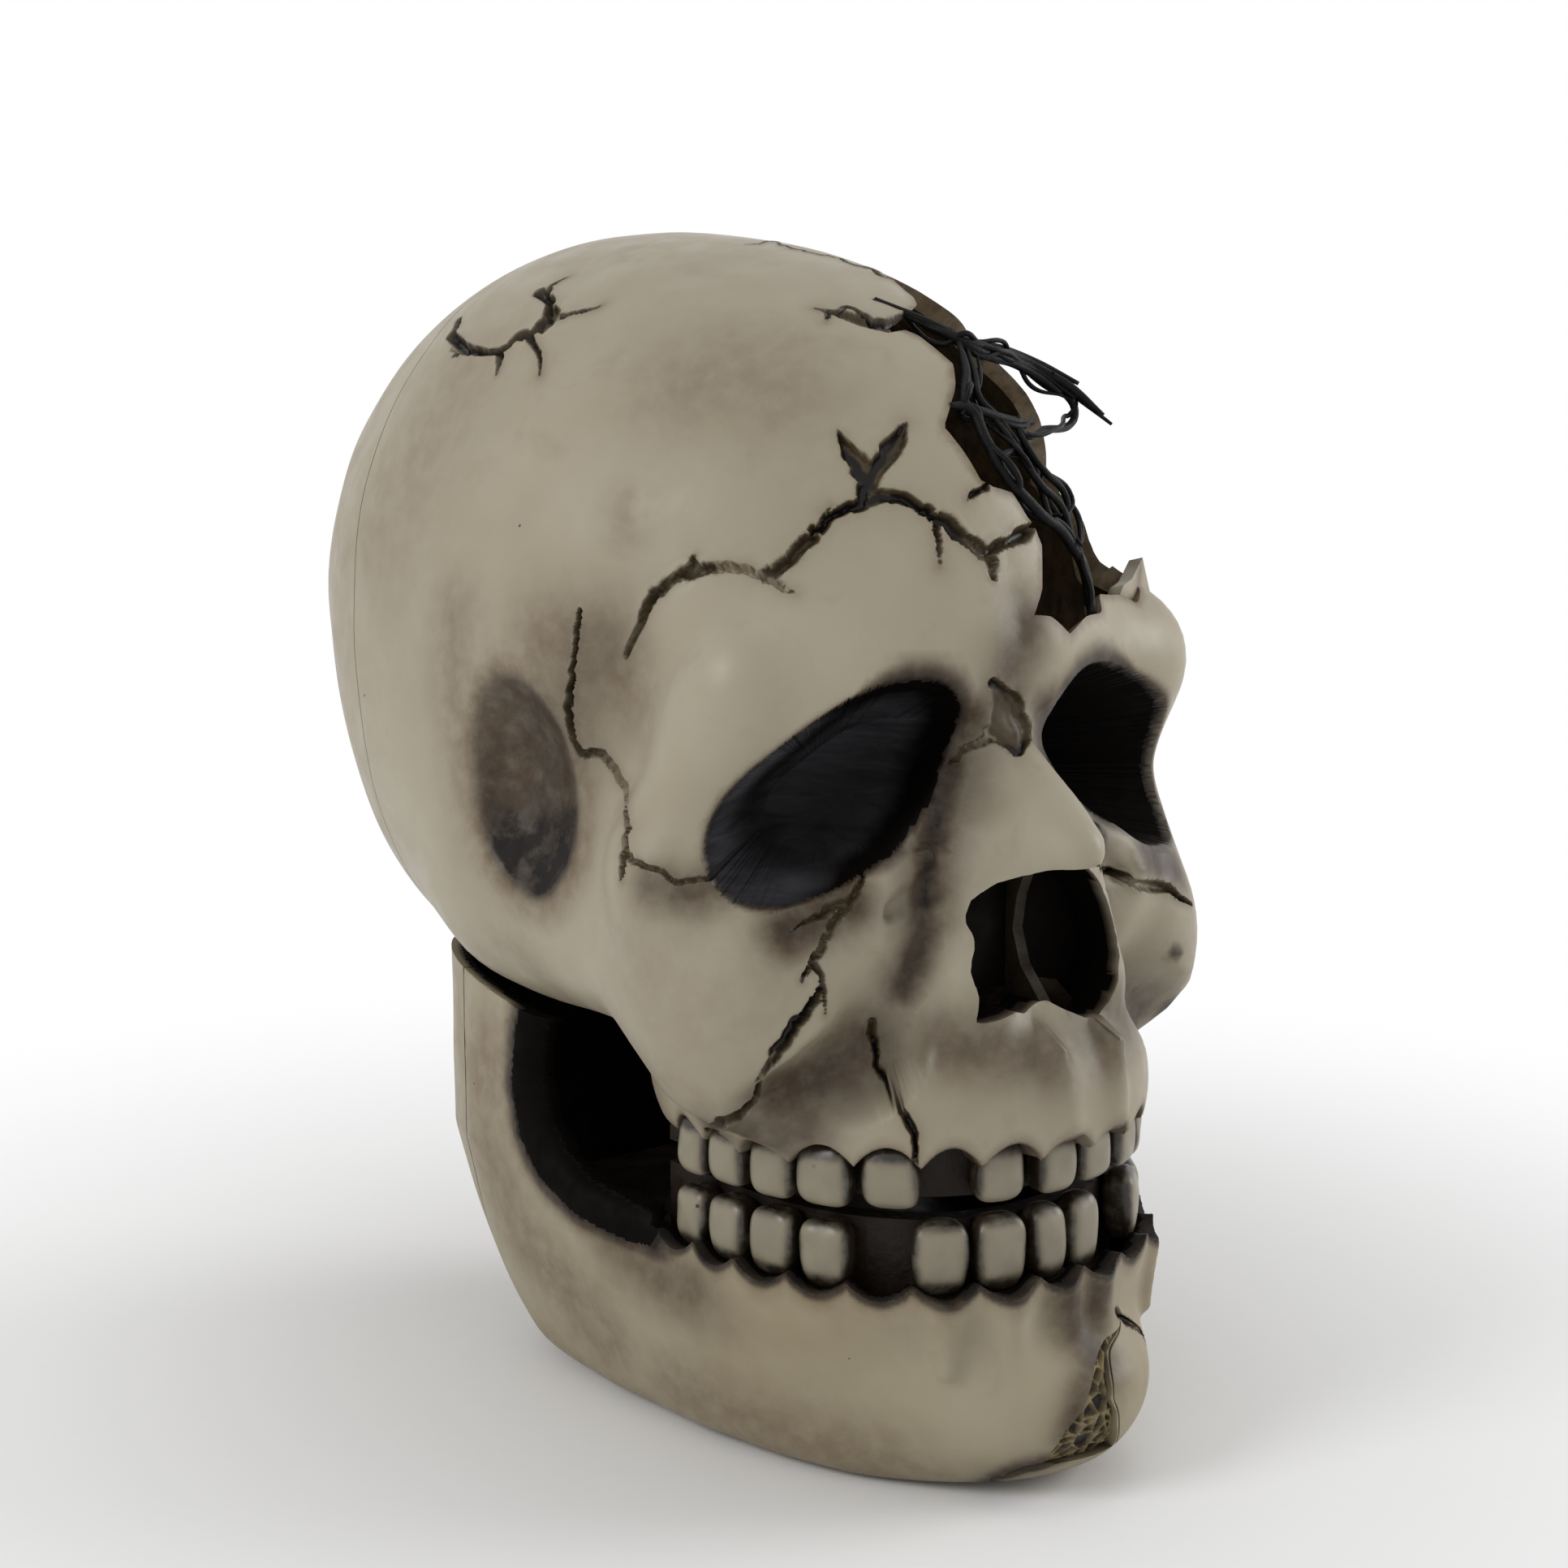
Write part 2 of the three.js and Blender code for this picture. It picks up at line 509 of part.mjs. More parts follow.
const marrowBlank = vaseSolid(jawField, -MARROW_FACE, [2, 4, 7, 11, 16, 21, 26, 32], JAW_AXIS_Y);
const chinMarrow = marrowPrism.intersect(marrowBlank).subtract(flakeRoom);
const outerKnuckles = barrelSolid(OUTER_KNUCKLE_START, OUTER_KNUCKLE_END, HINGE_Y, HINGE_Z, KNUCKLE_RADIUS)
  .add(boxSolid(
    [OUTER_KNUCKLE_START, HINGE_Y - 0.5, HINGE_Z - KNUCKLE_LEG],
    [OUTER_KNUCKLE_END, HINGE_Y + KNUCKLE_WEB_DEPTH, HINGE_Z]));
const bothKnuckles = outerKnuckles.add(outerKnuckles.mirror([1, 0, 0]));
const middleRoom = boxSolid(
  [-MIDDLE_KNUCKLE - KNUCKLE_SIDE_GAP, HINGE_Y - 2 * KNUCKLE_RADIUS, HINGE_Z - KNUCKLE_WEB_HEIGHT],
  [MIDDLE_KNUCKLE + KNUCKLE_SIDE_GAP, HINGE_Y + 6 * KNUCKLE_RADIUS, HINGE_Z + 5 * KNUCKLE_RADIUS]);
const jawRear = jawShell.intersect(jawRearHalf).subtract(middleRoom).add(bothKnuckles).subtract(pinHole);
addPiece('jaw_front_shell', jawFront, JAW_BONE());
addPiece('jaw_rear_shell', jawRear, JAW_BONE());
addPiece('chin_chip', chinChip, JAW_BONE());
addPiece('chin_marrow', chinMarrow, MARROW());
const PIN_END = OUTER_KNUCKLE_END + 1;
addPiece('hinge_pin', barrelSolid(-PIN_END, PIN_END, HINGE_Y, HINGE_Z, PIN_RADIUS), PIN());

// Points along the dental arch
const ARCH_STEPS = 600;
function archPoint(angle, inset) {
  const across = Math.sin(angle);
  const ahead = Math.cos(angle);
  const x = (ARCH_HALF_WIDTH - inset) * Math.sign(across) * Math.abs(across) ** (2 / ARCH_POWER);
  const y = ARCH_BACK_Y - (ARCH_DEPTH - inset) * Math.abs(ahead) ** (2 / ARCH_POWER);
  return new THREE.Vector2(x, y);
}
const archTable = [];
let archLength = 0;
for (let k = 0; k <= ARCH_STEPS; k += 1) {
  const point = archPoint((k / ARCH_STEPS) * Math.PI / 2, 0);
  if (k > 0) archLength += point.distanceTo(archTable[k - 1].point);
  archTable.push({ point, arc: archLength });
}
// Point and outward direction at a distance along the arch, positive towards the skull's left
function alongArch(distance) {
  const arc = Math.abs(distance);
  const side = Math.sign(distance) || 1;
  let point = new THREE.Vector2(ARCH_HALF_WIDTH, ARCH_BACK_Y + arc - archLength);
  let tangent = new THREE.Vector2(0, 1);
  if (arc < archLength) {
    let k = 1;
    while (archTable[k].arc < arc) k += 1;
    point = archTable[k].point.clone();
    tangent = archTable[k].point.clone().sub(archTable[k - 1].point).normalize();
  }
  const outward = new THREE.Vector2(tangent.y, -tangent.x);
  return { x: side * point.x, y: point.y, outX: side * outward.x, outY: outward.y };
}

// Gums: dark walls behind the teeth, and the mouth floor that closes the jaw
const GUM_FACE = 6.8;
const GUM_THICKNESS = 4;
const GUM_END_Y = -14;
function archWall(inset, thickness, zLow, zHigh) {
  const outer = [];
  const inner = [];
  for (let k = 0; k <= 24; k += 1) {
    const angle = ((k / 24) * 2 - 1) * (Math.PI / 2);
    outer.push(archPoint(angle, inset));
    inner.push(archPoint(angle, inset + thickness));
  }
  outer.unshift(new THREE.Vector2(-(ARCH_HALF_WIDTH - inset), GUM_END_Y));
  outer.push(new THREE.Vector2(ARCH_HALF_WIDTH - inset, GUM_END_Y));
  inner.unshift(new THREE.Vector2(-(ARCH_HALF_WIDTH - inset - thickness), GUM_END_Y));
  inner.push(new THREE.Vector2(ARCH_HALF_WIDTH - inset - thickness, GUM_END_Y));
  const shape = new THREE.Shape(outer.concat(inner.reverse()));
  const wall = new THREE.ExtrudeGeometry(shape, { depth: zHigh - zLow, bevelEnabled: false });
  wall.translate(0, 0, zLow);
  return toSolid(wall);
}
const BITE_Z = 51.6;
const BITE_DROP = 2.3;
const LOWER_GUM_Z = 37.6;
const FLOOR_THICKNESS = 3;
const FLOOR_TOP_Z = LOWER_GUM_Z - FLOOR_THICKNESS;
const floorHeights = [FLOOR_TOP_Z - FLOOR_THICKNESS, FLOOR_TOP_Z];
const mouthFloor = vaseSolid(jawField, -JAW_WALL - 2 * FIT_GAP, floorHeights, JAW_AXIS_Y)
  .intersect(jawFrontHalf.translate([0, -2, 0]));
const lowerGum = mouthFloor.add(archWall(GUM_FACE, GUM_THICKNESS, LOWER_GUM_Z - 4, BITE_Z - 3));
const upperGum = archWall(GUM_FACE, GUM_THICKNESS, BITE_Z + 1, GUM_Z_AT_BACK + 1.5)
  .subtract(craniumOuter.translate([0, 0, -FIT_GAP]));
addPiece('lower_gum', lowerGum, GUM());
addPiece('upper_gum', upperGum, GUM());

// Teeth: rounded blocks in two rows; place along the arch, width, and whether the socket is filled
const TOOTH_DEPTH = 6.2;
const TOOTH_ROUNDING = 4.5;
const TOOTH_TAPER = 0.2;
const UPPER_MIDLINE = 2.9;
const LOWER_MIDLINE = 0.9;
const UPPER_PLACES = [5.0, 17.0, 26.2, 37.1, 49.4, 60.5, 71.5, 81.0];
const UPPER_WIDTHS = [9.4, 9.6, 8.2, 10.6, 11.0, 10.2, 10.0, 8.4];
const LOWER_PLACES = [4.3, 14.8, 26.0, 36.6, 47.2, 58.6, 69.6, 79.8];
const LOWER_WIDTHS = [8.0, 10.2, 10.4, 9.6, 10.2, 10.6, 10.2, 8.8];
const UPPER_EMPTY = ['right_3'];
const LOWER_EMPTY = ['right_4', 'left_2'];
function toothSolid(distance, width, zLow, zHigh) {
  const block = bareGeometry(new THREE.BoxGeometry(2, 2, 2, 3, 2, 3));
  const position = block.attributes.position;
  const place = alongArch(distance);
  const alongX = place.outY;
  const alongY = -place.outX;
  for (let i = 0; i < position.count; i += 1) {
    const q = [position.getX(i), position.getY(i), position.getZ(i)];
    const sum = q.reduce((total, value) => total + Math.abs(value) ** TOOTH_ROUNDING, 0);
    const scale = 1 / sum ** (1 / TOOTH_ROUNDING);
    const taper = 1 - TOOTH_TAPER * (0.5 - 0.5 * q[1] * scale);
    const u = (q[0] * scale * taper * width) / 2;
    const v = (q[1] * scale * TOOTH_DEPTH) / 2 - TOOTH_DEPTH / 2;
    const z = (zLow + zHigh) / 2 + (q[2] * scale * (zHigh - zLow)) / 2;
    position.setXYZ(i, place.x + u * alongX + v * place.outX, place.y + u * alongY + v * place.outY, z);
  }
  return toSolid(block);
}
function biteZ(distance) {
  return BITE_Z - BITE_DROP * Math.min(1, Math.abs(distance) / archLength);
}
function addTeeth(row, places, widths, empty, midline, low, high) {
  for (const [side, sign] of [['right', -1], ['left', 1]]) {
    for (let k = 0; k < places.length; k += 1) {
      const label = `${side}_${k + 1}`;
      if (!empty.includes(label)) {
        const distance = midline + sign * places[k];
        const tooth = toothSolid(distance, widths[k], low(distance), high(distance));
        addPiece(`${row}_tooth_${label}`, tooth, TOOTH());
      }
    }
  }
}
const gumAbove = (distance) =>
  GUM_Z_AT_BACK + (GUM_RISE * (ARCH_BACK_Y - alongArch(distance).y - TOOTH_DEPTH)) / ARCH_DEPTH;
addTeeth('upper', UPPER_PLACES, UPPER_WIDTHS, UPPER_EMPTY, UPPER_MIDLINE,
  (distance) => biteZ(distance) + 0.7, (distance) => gumAbove(distance) - FIT_GAP);
addTeeth('lower', LOWER_PLACES, LOWER_WIDTHS, LOWER_EMPTY, LOWER_MIDLINE,
  () => LOWER_GUM_Z + 0.9, (distance) => biteZ(distance) - 0.7);

// Stiff strands across the hole: paths and radii
const STRANDS = [
  {
    radius: 1.5,
    path: [
      [0.5, -36.5, 201.6], [5.4, -40.6, 198.2], [8.2, -43.0, 196.1], [12.4, -44.2, 194.0],
      [19.4, -42.4, 194.0], [25.7, -41.6, 192.7], [29.6, -43.3, 190.6], [33.0, -46.3, 188.0],
      [37.4, -50.6, 182.8],
    ],
  },
  {
    radius: 0.9,
    path: [
      [29.6, -43.3, 190.6], [33.5, -45.2, 186.4], [34.9, -45.6, 184.6], [35.0, -45.8, 182.9],
      [33.8, -46.2, 181.5], [22.0, -50.8, 180.4], [12.6, -54.8, 180.0], [10.9, -54.0, 182.0],
    ],
  },
  {
    radius: 0.9,
    path: [
      [8.2, -43.0, 196.1], [4.6, -49.0, 190.3], [1.0, -52.4, 186.0], [0.4, -53.4, 184.8], [4.0, -54.3, 183.4],
      [10.9, -54.0, 182.0], [14.0, -53.0, 182.0],
    ],
  },
  {
    radius: 1.0,
    path: [
      [-2.4, -53.6, 184.6], [0.6, -54.1, 184.0], [1.6, -57.0, 179.1], [3.6, -60.0, 172.9],
      [8.2, -61.2, 168.3], [12.0, -61.3, 165.4], [16.0, -60.6, 163.6], [20.6, -59.8, 159.9],
      [23.0, -59.8, 157.0], [22.6, -62.4, 150.0], [22.8, -63.6, 146.4],
    ],
  },
  {
    radius: 0.9,
    path: [
      [5.7, -54.3, 182.9], [8.7, -57.2, 177.5], [12.7, -58.9, 171.5], [19.3, -58.3, 166.8],
      [20.4, -59.0, 163.1], [20.8, -59.8, 159.6],
    ],
  },
  {
    radius: 0.8,
    path: [
      [11.2, -53.9, 182.1], [12.7, -56.6, 176.9], [16.0, -57.2, 173.2], [21.9, -56.6, 168.7],
      [20.2, -58.9, 163.8],
    ],
  },
];
const STRAND_SIDES = 5;
function strandSolid({ radius, path }) {
  const curve = new THREE.CatmullRomCurve3(path.map((point) => new THREE.Vector3(...point)));
  const outline = [];
  for (let k = 0; k < STRAND_SIDES; k += 1) {
    const angle = (k / STRAND_SIDES) * 2 * Math.PI;
    outline.push(new THREE.Vector2(radius * Math.cos(angle), radius * Math.sin(angle)));
  }
  const steps = Math.round(path.length * 1.6);
  const sweep = { steps, extrudePath: curve, bevelEnabled: false };
  const tube = new THREE.ExtrudeGeometry(new THREE.Shape(outline), sweep);
  return toSolid(tube);
}
let strands = strandSolid(STRANDS[0]);
for (const strand of STRANDS.slice(1)) strands = strands.add(strandSolid(strand));
for (const axis of [HOLE_ACROSS, HOLE_UP, HOLE_NORMAL]) {
  for (const sign of [-1, 1]) {
    const shift = axis.clone().multiplyScalar(sign * FIT_GAP);
    strands = strands.subtract(faceShell.translate([shift.x, shift.y, shift.z]));
  }
}
addPiece('root_strands', strands, STRAND());

// Septum: a thin plate with a hollowed front edge, set in the nose opening
const SEPTUM_HALF = 1.2;
const SEPTUM_EDGE = [[-75.2, 84], [-70, 90], [-68, 96], [-69, 102], [-72, 109]];
const septumOutline = SEPTUM_EDGE.concat([[NOSE_BACK_Y + 1, 109], [NOSE_BACK_Y + 1, 84]]);
let septum = sideProfileSolid(septumOutline, SEPTUM_HALF);
for (const shift of [[0, 0, FIT_GAP], [0, 0, -FIT_GAP], [0, -FIT_GAP, 0]]) {
  septum = septum.subtract(faceShell.translate(shift));
}
addPiece('nasal_septum', septum, BONE());

group.updateMatrixWorld(true);
export default group;
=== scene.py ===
"""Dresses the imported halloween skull: bone shells, cracks, teeth, gums, strands, finishes and studio."""
import math
from collections import namedtuple
from contextlib import contextmanager

import bmesh
import bpy
import numpy as np
from bpy.props import FloatProperty, FloatVectorProperty, IntProperty, PointerProperty
from bpy.types import Operator, Panel, PropertyGroup
from mathutils import Matrix, Vector
from mathutils.kdtree import KDTree


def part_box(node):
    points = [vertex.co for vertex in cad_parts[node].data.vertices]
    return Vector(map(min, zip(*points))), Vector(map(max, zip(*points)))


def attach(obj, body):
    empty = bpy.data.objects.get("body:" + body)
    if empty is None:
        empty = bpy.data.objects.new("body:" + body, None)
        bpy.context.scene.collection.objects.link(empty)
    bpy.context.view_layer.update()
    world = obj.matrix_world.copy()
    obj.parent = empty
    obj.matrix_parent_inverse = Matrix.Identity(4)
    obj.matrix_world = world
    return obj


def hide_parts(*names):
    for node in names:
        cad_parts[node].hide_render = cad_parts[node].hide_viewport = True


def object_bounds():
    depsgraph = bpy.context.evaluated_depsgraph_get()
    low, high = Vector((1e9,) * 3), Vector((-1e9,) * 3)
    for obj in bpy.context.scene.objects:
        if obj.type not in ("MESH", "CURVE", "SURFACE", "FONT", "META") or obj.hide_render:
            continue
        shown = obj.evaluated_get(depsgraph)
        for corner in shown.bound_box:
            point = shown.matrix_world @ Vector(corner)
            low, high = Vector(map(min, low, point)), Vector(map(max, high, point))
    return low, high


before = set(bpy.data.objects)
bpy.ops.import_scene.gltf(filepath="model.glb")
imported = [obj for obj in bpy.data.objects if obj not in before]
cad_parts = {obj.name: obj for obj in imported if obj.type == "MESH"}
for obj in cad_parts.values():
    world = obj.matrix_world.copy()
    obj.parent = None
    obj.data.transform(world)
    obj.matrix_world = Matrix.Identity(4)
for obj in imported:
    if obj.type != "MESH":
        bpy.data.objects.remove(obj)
CAD_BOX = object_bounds()

bl_info = {
    "name": "Halloween skull decoration",
    "version": (1, 0, 0),
    "blender": (4, 5, 0),
    "location": "3D View > Sidebar > Skull",
    "description": "Builds the shells, teeth, gums and strands of a moulded skull over its frame",
    "category": "Object",
}

MM = 0.001
FAR = 1e9

# Camera of the photograph, in millimetres and pixels
PHOTO_SIZE = 1932
PHOTO_FOCAL = 3080
PHOTO_AZIMUTH = math.radians(-39.5)
PHOTO_ELEVATION = math.radians(8.5)
PHOTO_TARGET = np.array((3.6, -0.7, 112.8))
PHOTO_DISTANCE = 480
CAMERA_BACK = np.array((
    math.sin(PHOTO_AZIMUTH) * math.cos(PHOTO_ELEVATION),
    -math.cos(PHOTO_AZIMUTH) * math.cos(PHOTO_ELEVATION),
    math.sin(PHOTO_ELEVATION),
))
CAMERA_PLACE = PHOTO_TARGET + PHOTO_DISTANCE * CAMERA_BACK
CAMERA_RIGHT = np.array((math.cos(PHOTO_AZIMUTH), math.sin(PHOTO_AZIMUTH), 0.0))
CAMERA_UP = np.cross(CAMERA_BACK, CAMERA_RIGHT)
RAY_START = 330
RAY_END = 620

# Forms of the skull in millimetres, the same as the frame's
Ball = namedtuple("Ball", "centre radii")
Bar = namedtuple("Bar", "start end start_radius end_radius")
Socket = namedtuple("Socket", "centre radii long_axis facing")
Form = namedtuple("Form", "shape blend")
CRANIUM_CENTRE = np.array((0.0, -15.0, 118.0))
CRANIUM_REACH = 170
BRAINCASE = Ball((0, 33, 147.5), (62, 76, 70.5))
FOREHEAD = Ball((0, -14, 150), (50, 50, 54))
SKULL_BASE = Ball((0, 28, 112), (53, 58, 46))
SIDE_PLATE = Bar((36, 14, 98), (43, -42, 88), 20, 14)
CHEEK = Ball((44, -48, 85), (13, 17, 24))
BROW = Bar((8, -58, 142), (43, -52, 139.5), 5, 6.5)
EYE_OUTER_RIM = Bar((45, -50, 137), (52.5, -37, 112), 6, 5.5)
EYE_LOWER_RIM = Bar((52, -40, 105), (30, -60, 101), 5, 4)
EYE_INNER_RIM = Bar((30, -60, 101), (12, -66, 112), 4, 4)
NOSE_BRIDGE = Bar((0, -57, 132), (0, -81.5, 111.5), 5, 5.2)
NOSE_WING = Bar((5, -72, 111), (14.5, -70, 87), 6, 7.5)
MIDFACE = Ball((0, -44, 100), (42, 28, 32))
UPPER_JAW = Ball((0, -37, 66), (43, 48.5, 30))
HEAD_FORMS = (Form(FOREHEAD, 30), Form(SKULL_BASE, 24), Form(SIDE_PLATE, 20), Form(CHEEK, 18))
FACE_FORMS = (
    Form(BROW, 22), Form(EYE_OUTER_RIM, 20), Form(EYE_LOWER_RIM, 13), Form(EYE_INNER_RIM, 10),
    Form(UPPER_JAW, 10),
)
NOSE_FORMS = (Form(NOSE_BRIDGE, 5), Form(NOSE_WING, 7), Form(MIDFACE, 8))
BORDER_BLEND = 4
GUM_BLEND = 2
CUSP_BLEND = 0.8
CUSP_LIFT = 0.4
EYE = Socket((33.5, -60, 122), (25, 12.5, 30), (0.72, 0.42, -0.56), (0.42, -0.9, 0))
TEMPLE = Socket((66, -5, 118), (22, 15, 14), (0, 0.25, 1), (1, 0, 0))
BORDER_MID_Z = 59
BORDER_FRONT_Y = -48
BORDER_RISE_BACK = 0.18
BORDER_RISE_RIGHT = 0.12
BORDER_RISE_LEFT = 0.19
BORDER_GAP = 1.3
GUM_Z_AT_BACK = 61
GUM_RISE = 2
CRANIUM_SEAM_Y = 50
JAW_SEAM_Y = 34
SEAM_GAP = 0.3
WALL = 3.2
LEAST_WALL = 2.2
JAW_WALL = 3.5

# Dental arch and teeth
ARCH_BACK_Y = -35
ARCH_HALF_WIDTH = 41
ARCH_DEPTH = 47
ARCH_POWER = 2.3
ARCH_STEPS = 600
UPPER_MIDLINE = 2.9
LOWER_MIDLINE = 0.9
UPPER_PLACES = (5.0, 17.0, 26.2, 37.1, 49.4, 60.5, 71.5, 81.0)
UPPER_WIDTHS = (9.4, 9.6, 8.2, 10.6, 11.0, 10.2, 10.0, 8.4)
LOWER_PLACES = (4.3, 14.8, 26.0, 36.6, 47.2, 58.6, 69.6, 79.8)
LOWER_WIDTHS = (8.0, 10.2, 10.4, 9.6, 10.2, 10.6, 10.2, 8.8)
TOOTH_DEPTH = 6.2
LOWER_GUM_Z = 37.6
UPPER_CUSP = 4.0
LOWER_CUSP = 2.8

# Hinge at the rear
HINGE_Y = 56
HINGE_Z = 78.5
PIN_RADIUS = 2.06
KNUCKLE_RADIUS = 4.4
BARREL_SIDES = 48
KNUCKLE_ROOM = 5.4
MIDDLE_KNUCKLE = 8
OUTER_KNUCKLE_START = 8.5
OUTER_KNUCKLE_END = 20
KNUCKLE_PLAY = 0.6
BORE_REACH = 30
# Boxes at the hinge, each from its lowest corner to its highest
MIDDLE_STRAP = ((-MIDDLE_KNUCKLE, HINGE_Y - 1, HINGE_Z), (MIDDLE_KNUCKLE, HINGE_Y + 4.2, HINGE_Z + 6))
MIDDLE_ROOM = ((-MIDDLE_KNUCKLE - 0.5, 47, HINGE_Z - 6), (MIDDLE_KNUCKLE + 0.5, 82, 100))
OUTER_STRAP = ((HINGE_Y - 0.5, HINGE_Z - 12), (HINGE_Y + 4.2, HINGE_Z))
# Boxes that part the shells at their seams
BEHIND_CRANIUM_SEAM = ((-120, CRANIUM_SEAM_Y - SEAM_GAP / 2, 20), (120, 180, 260))
AHEAD_OF_CRANIUM_SEAM = ((-120, -180, 20), (120, CRANIUM_SEAM_Y + SEAM_GAP / 2, 260))
BEHIND_JAW_SEAM = ((-120, JAW_SEAM_Y - SEAM_GAP / 2, -5), (120, 140, 120))
AHEAD_OF_JAW_SEAM = ((-120, -140, -5), (120, JAW_SEAM_Y + SEAM_GAP / 2, 120))

# Opening of the nose, outlined from the front
NOSE_OPENING = (
    (-4, 108.6), (-8.4, 107.8), (-12, 106), (-14.8, 103), (-16.2, 99.6), (-16.8, 95.5), (-17.6, 92),
    (-17.2, 88), (-17.8, 84), (-13, 83.4), (-9, 84), (-3, 84.6), (0, 84.4), (3, 82.6), (6.5, 81), (10, 81.4),
    (13, 83.2), (15.2, 86), (16.2, 90), (16, 93), (15.3, 96), (14.2, 99), (12.8, 101.5), (10.8, 104),
    (8.5, 106), (4, 108.6),
)
NOSE_FRONT_Y = -130
NOSE_BACK_Y = -66

# Broken edge of the hole in the forehead, as points on the surface
HOLE_EDGE = (
    (10.7, -23.4, 207.4), (8.5, -31.4, 203.9), (2.0, -37.5, 200.9), (-5.4, -40.1, 198.7),
    (-0.6, -42.7, 196.8), (3.1, -47.6, 192.0), (-1.2, -51.8, 187.1), (-7.4, -55.5, 180.9),
    (-2.0, -60.1, 172.3), (5.1, -60.9, 169.7), (8.7, -63.0, 161.0), (6.5, -65.7, 153.5),
    (3.4, -66.9, 148.9), (12.1, -67.0, 145.0), (17.3, -65.6, 146.6), (23.5, -63.6, 147.6),
    (24.3, -62.0, 150.9), (31.2, -59.5, 150.1), (36.6, -59.2, 148.4), (41.5, -54.5, 151.0),
    (44.5, -51.0, 156.0), (45.0, -47.5, 151.5), (44.6, -40.0, 160.0), (49.6, -23.9, 172.9),
    (45.7, -27.7, 177.7), (40.7, -31.2, 182.6), (37.4, -31.4, 186.9), (34.0, -22.3, 196.1),
    (28.6, -23.2, 199.9), (24.0, -21.8, 203.2), (17.1, -19.8, 207.2),
)
# Splinter that stands up from the hole's lower edge
SHARD = (
    (31.5, -59.6, 148.5), (35.5, -58.2, 152.6), (40.5, -55.6, 153.4), (45.8, -53.2, 157.0),
    (48.6, -54.6, 144.6),
)
SHARD_BACK = Vector((-1.2, 2.2, -0.6))
HOLE_CENTRE = Vector((20, -48, 180))
HOLE_NORMAL = Vector((0.36, -0.7, 0.62)).normalized()
HOLE_DEPTH = 20
HOLE_HEIGHT = 40

# Side view of the mouth's edge on the jaw, and the break in the chin seen from the front
MOUTH_EDGE = (
    (-120, 43.5), (-37, 43.5), (-26, 43.2), (-15, 43.4), (-5, 45.0), (2, 48.2), (6.4, 53), (8.6, 60),
    (7.4, 68), (5, 76), (5, 125), (-120, 125),
)
MOUTH_CURVE = (
    (-60, 38), (-26, 40.6), (-15, 42.8), (-5, 45.0), (2, 48.2), (6.4, 53), (8.6, 60), (7.4, 68), (5, 76),
    (4, 90),
)
CHIN_GAP = (
    (9.6, 27.2), (4.2, 26.8), (1.4, 25.6), (-1.8, 23.6), (-4.2, 20.8), (-6.2, 17.8), (-8.8, 15), (-10, 10.6),
    (-9, 7.5), (5.5, 7.2), (2.2, 13.4), (1.9, 15.9), (0.4, 18.4), (1.0, 22.0), (2.9, 25.0), (5.4, 26.0),
)
CHIN_FLAKE = (
    (10.2, 28.6), (13, 27.1), (18, 23.4), (21, 19.5), (21, 14), (17, 9), (11, 7.4), (6.1, 7.4),
    (2.8, 13.4), (2.5, 16.0), (1.0, 18.5), (1.6, 21.8), (3.3, 24.5), (5.6, 25.6), (10.0, 26.8),
)
CHIN_FRONT_Y = -100
CHIN_BACK_Y = -76
MARROW_FACE = 1.4

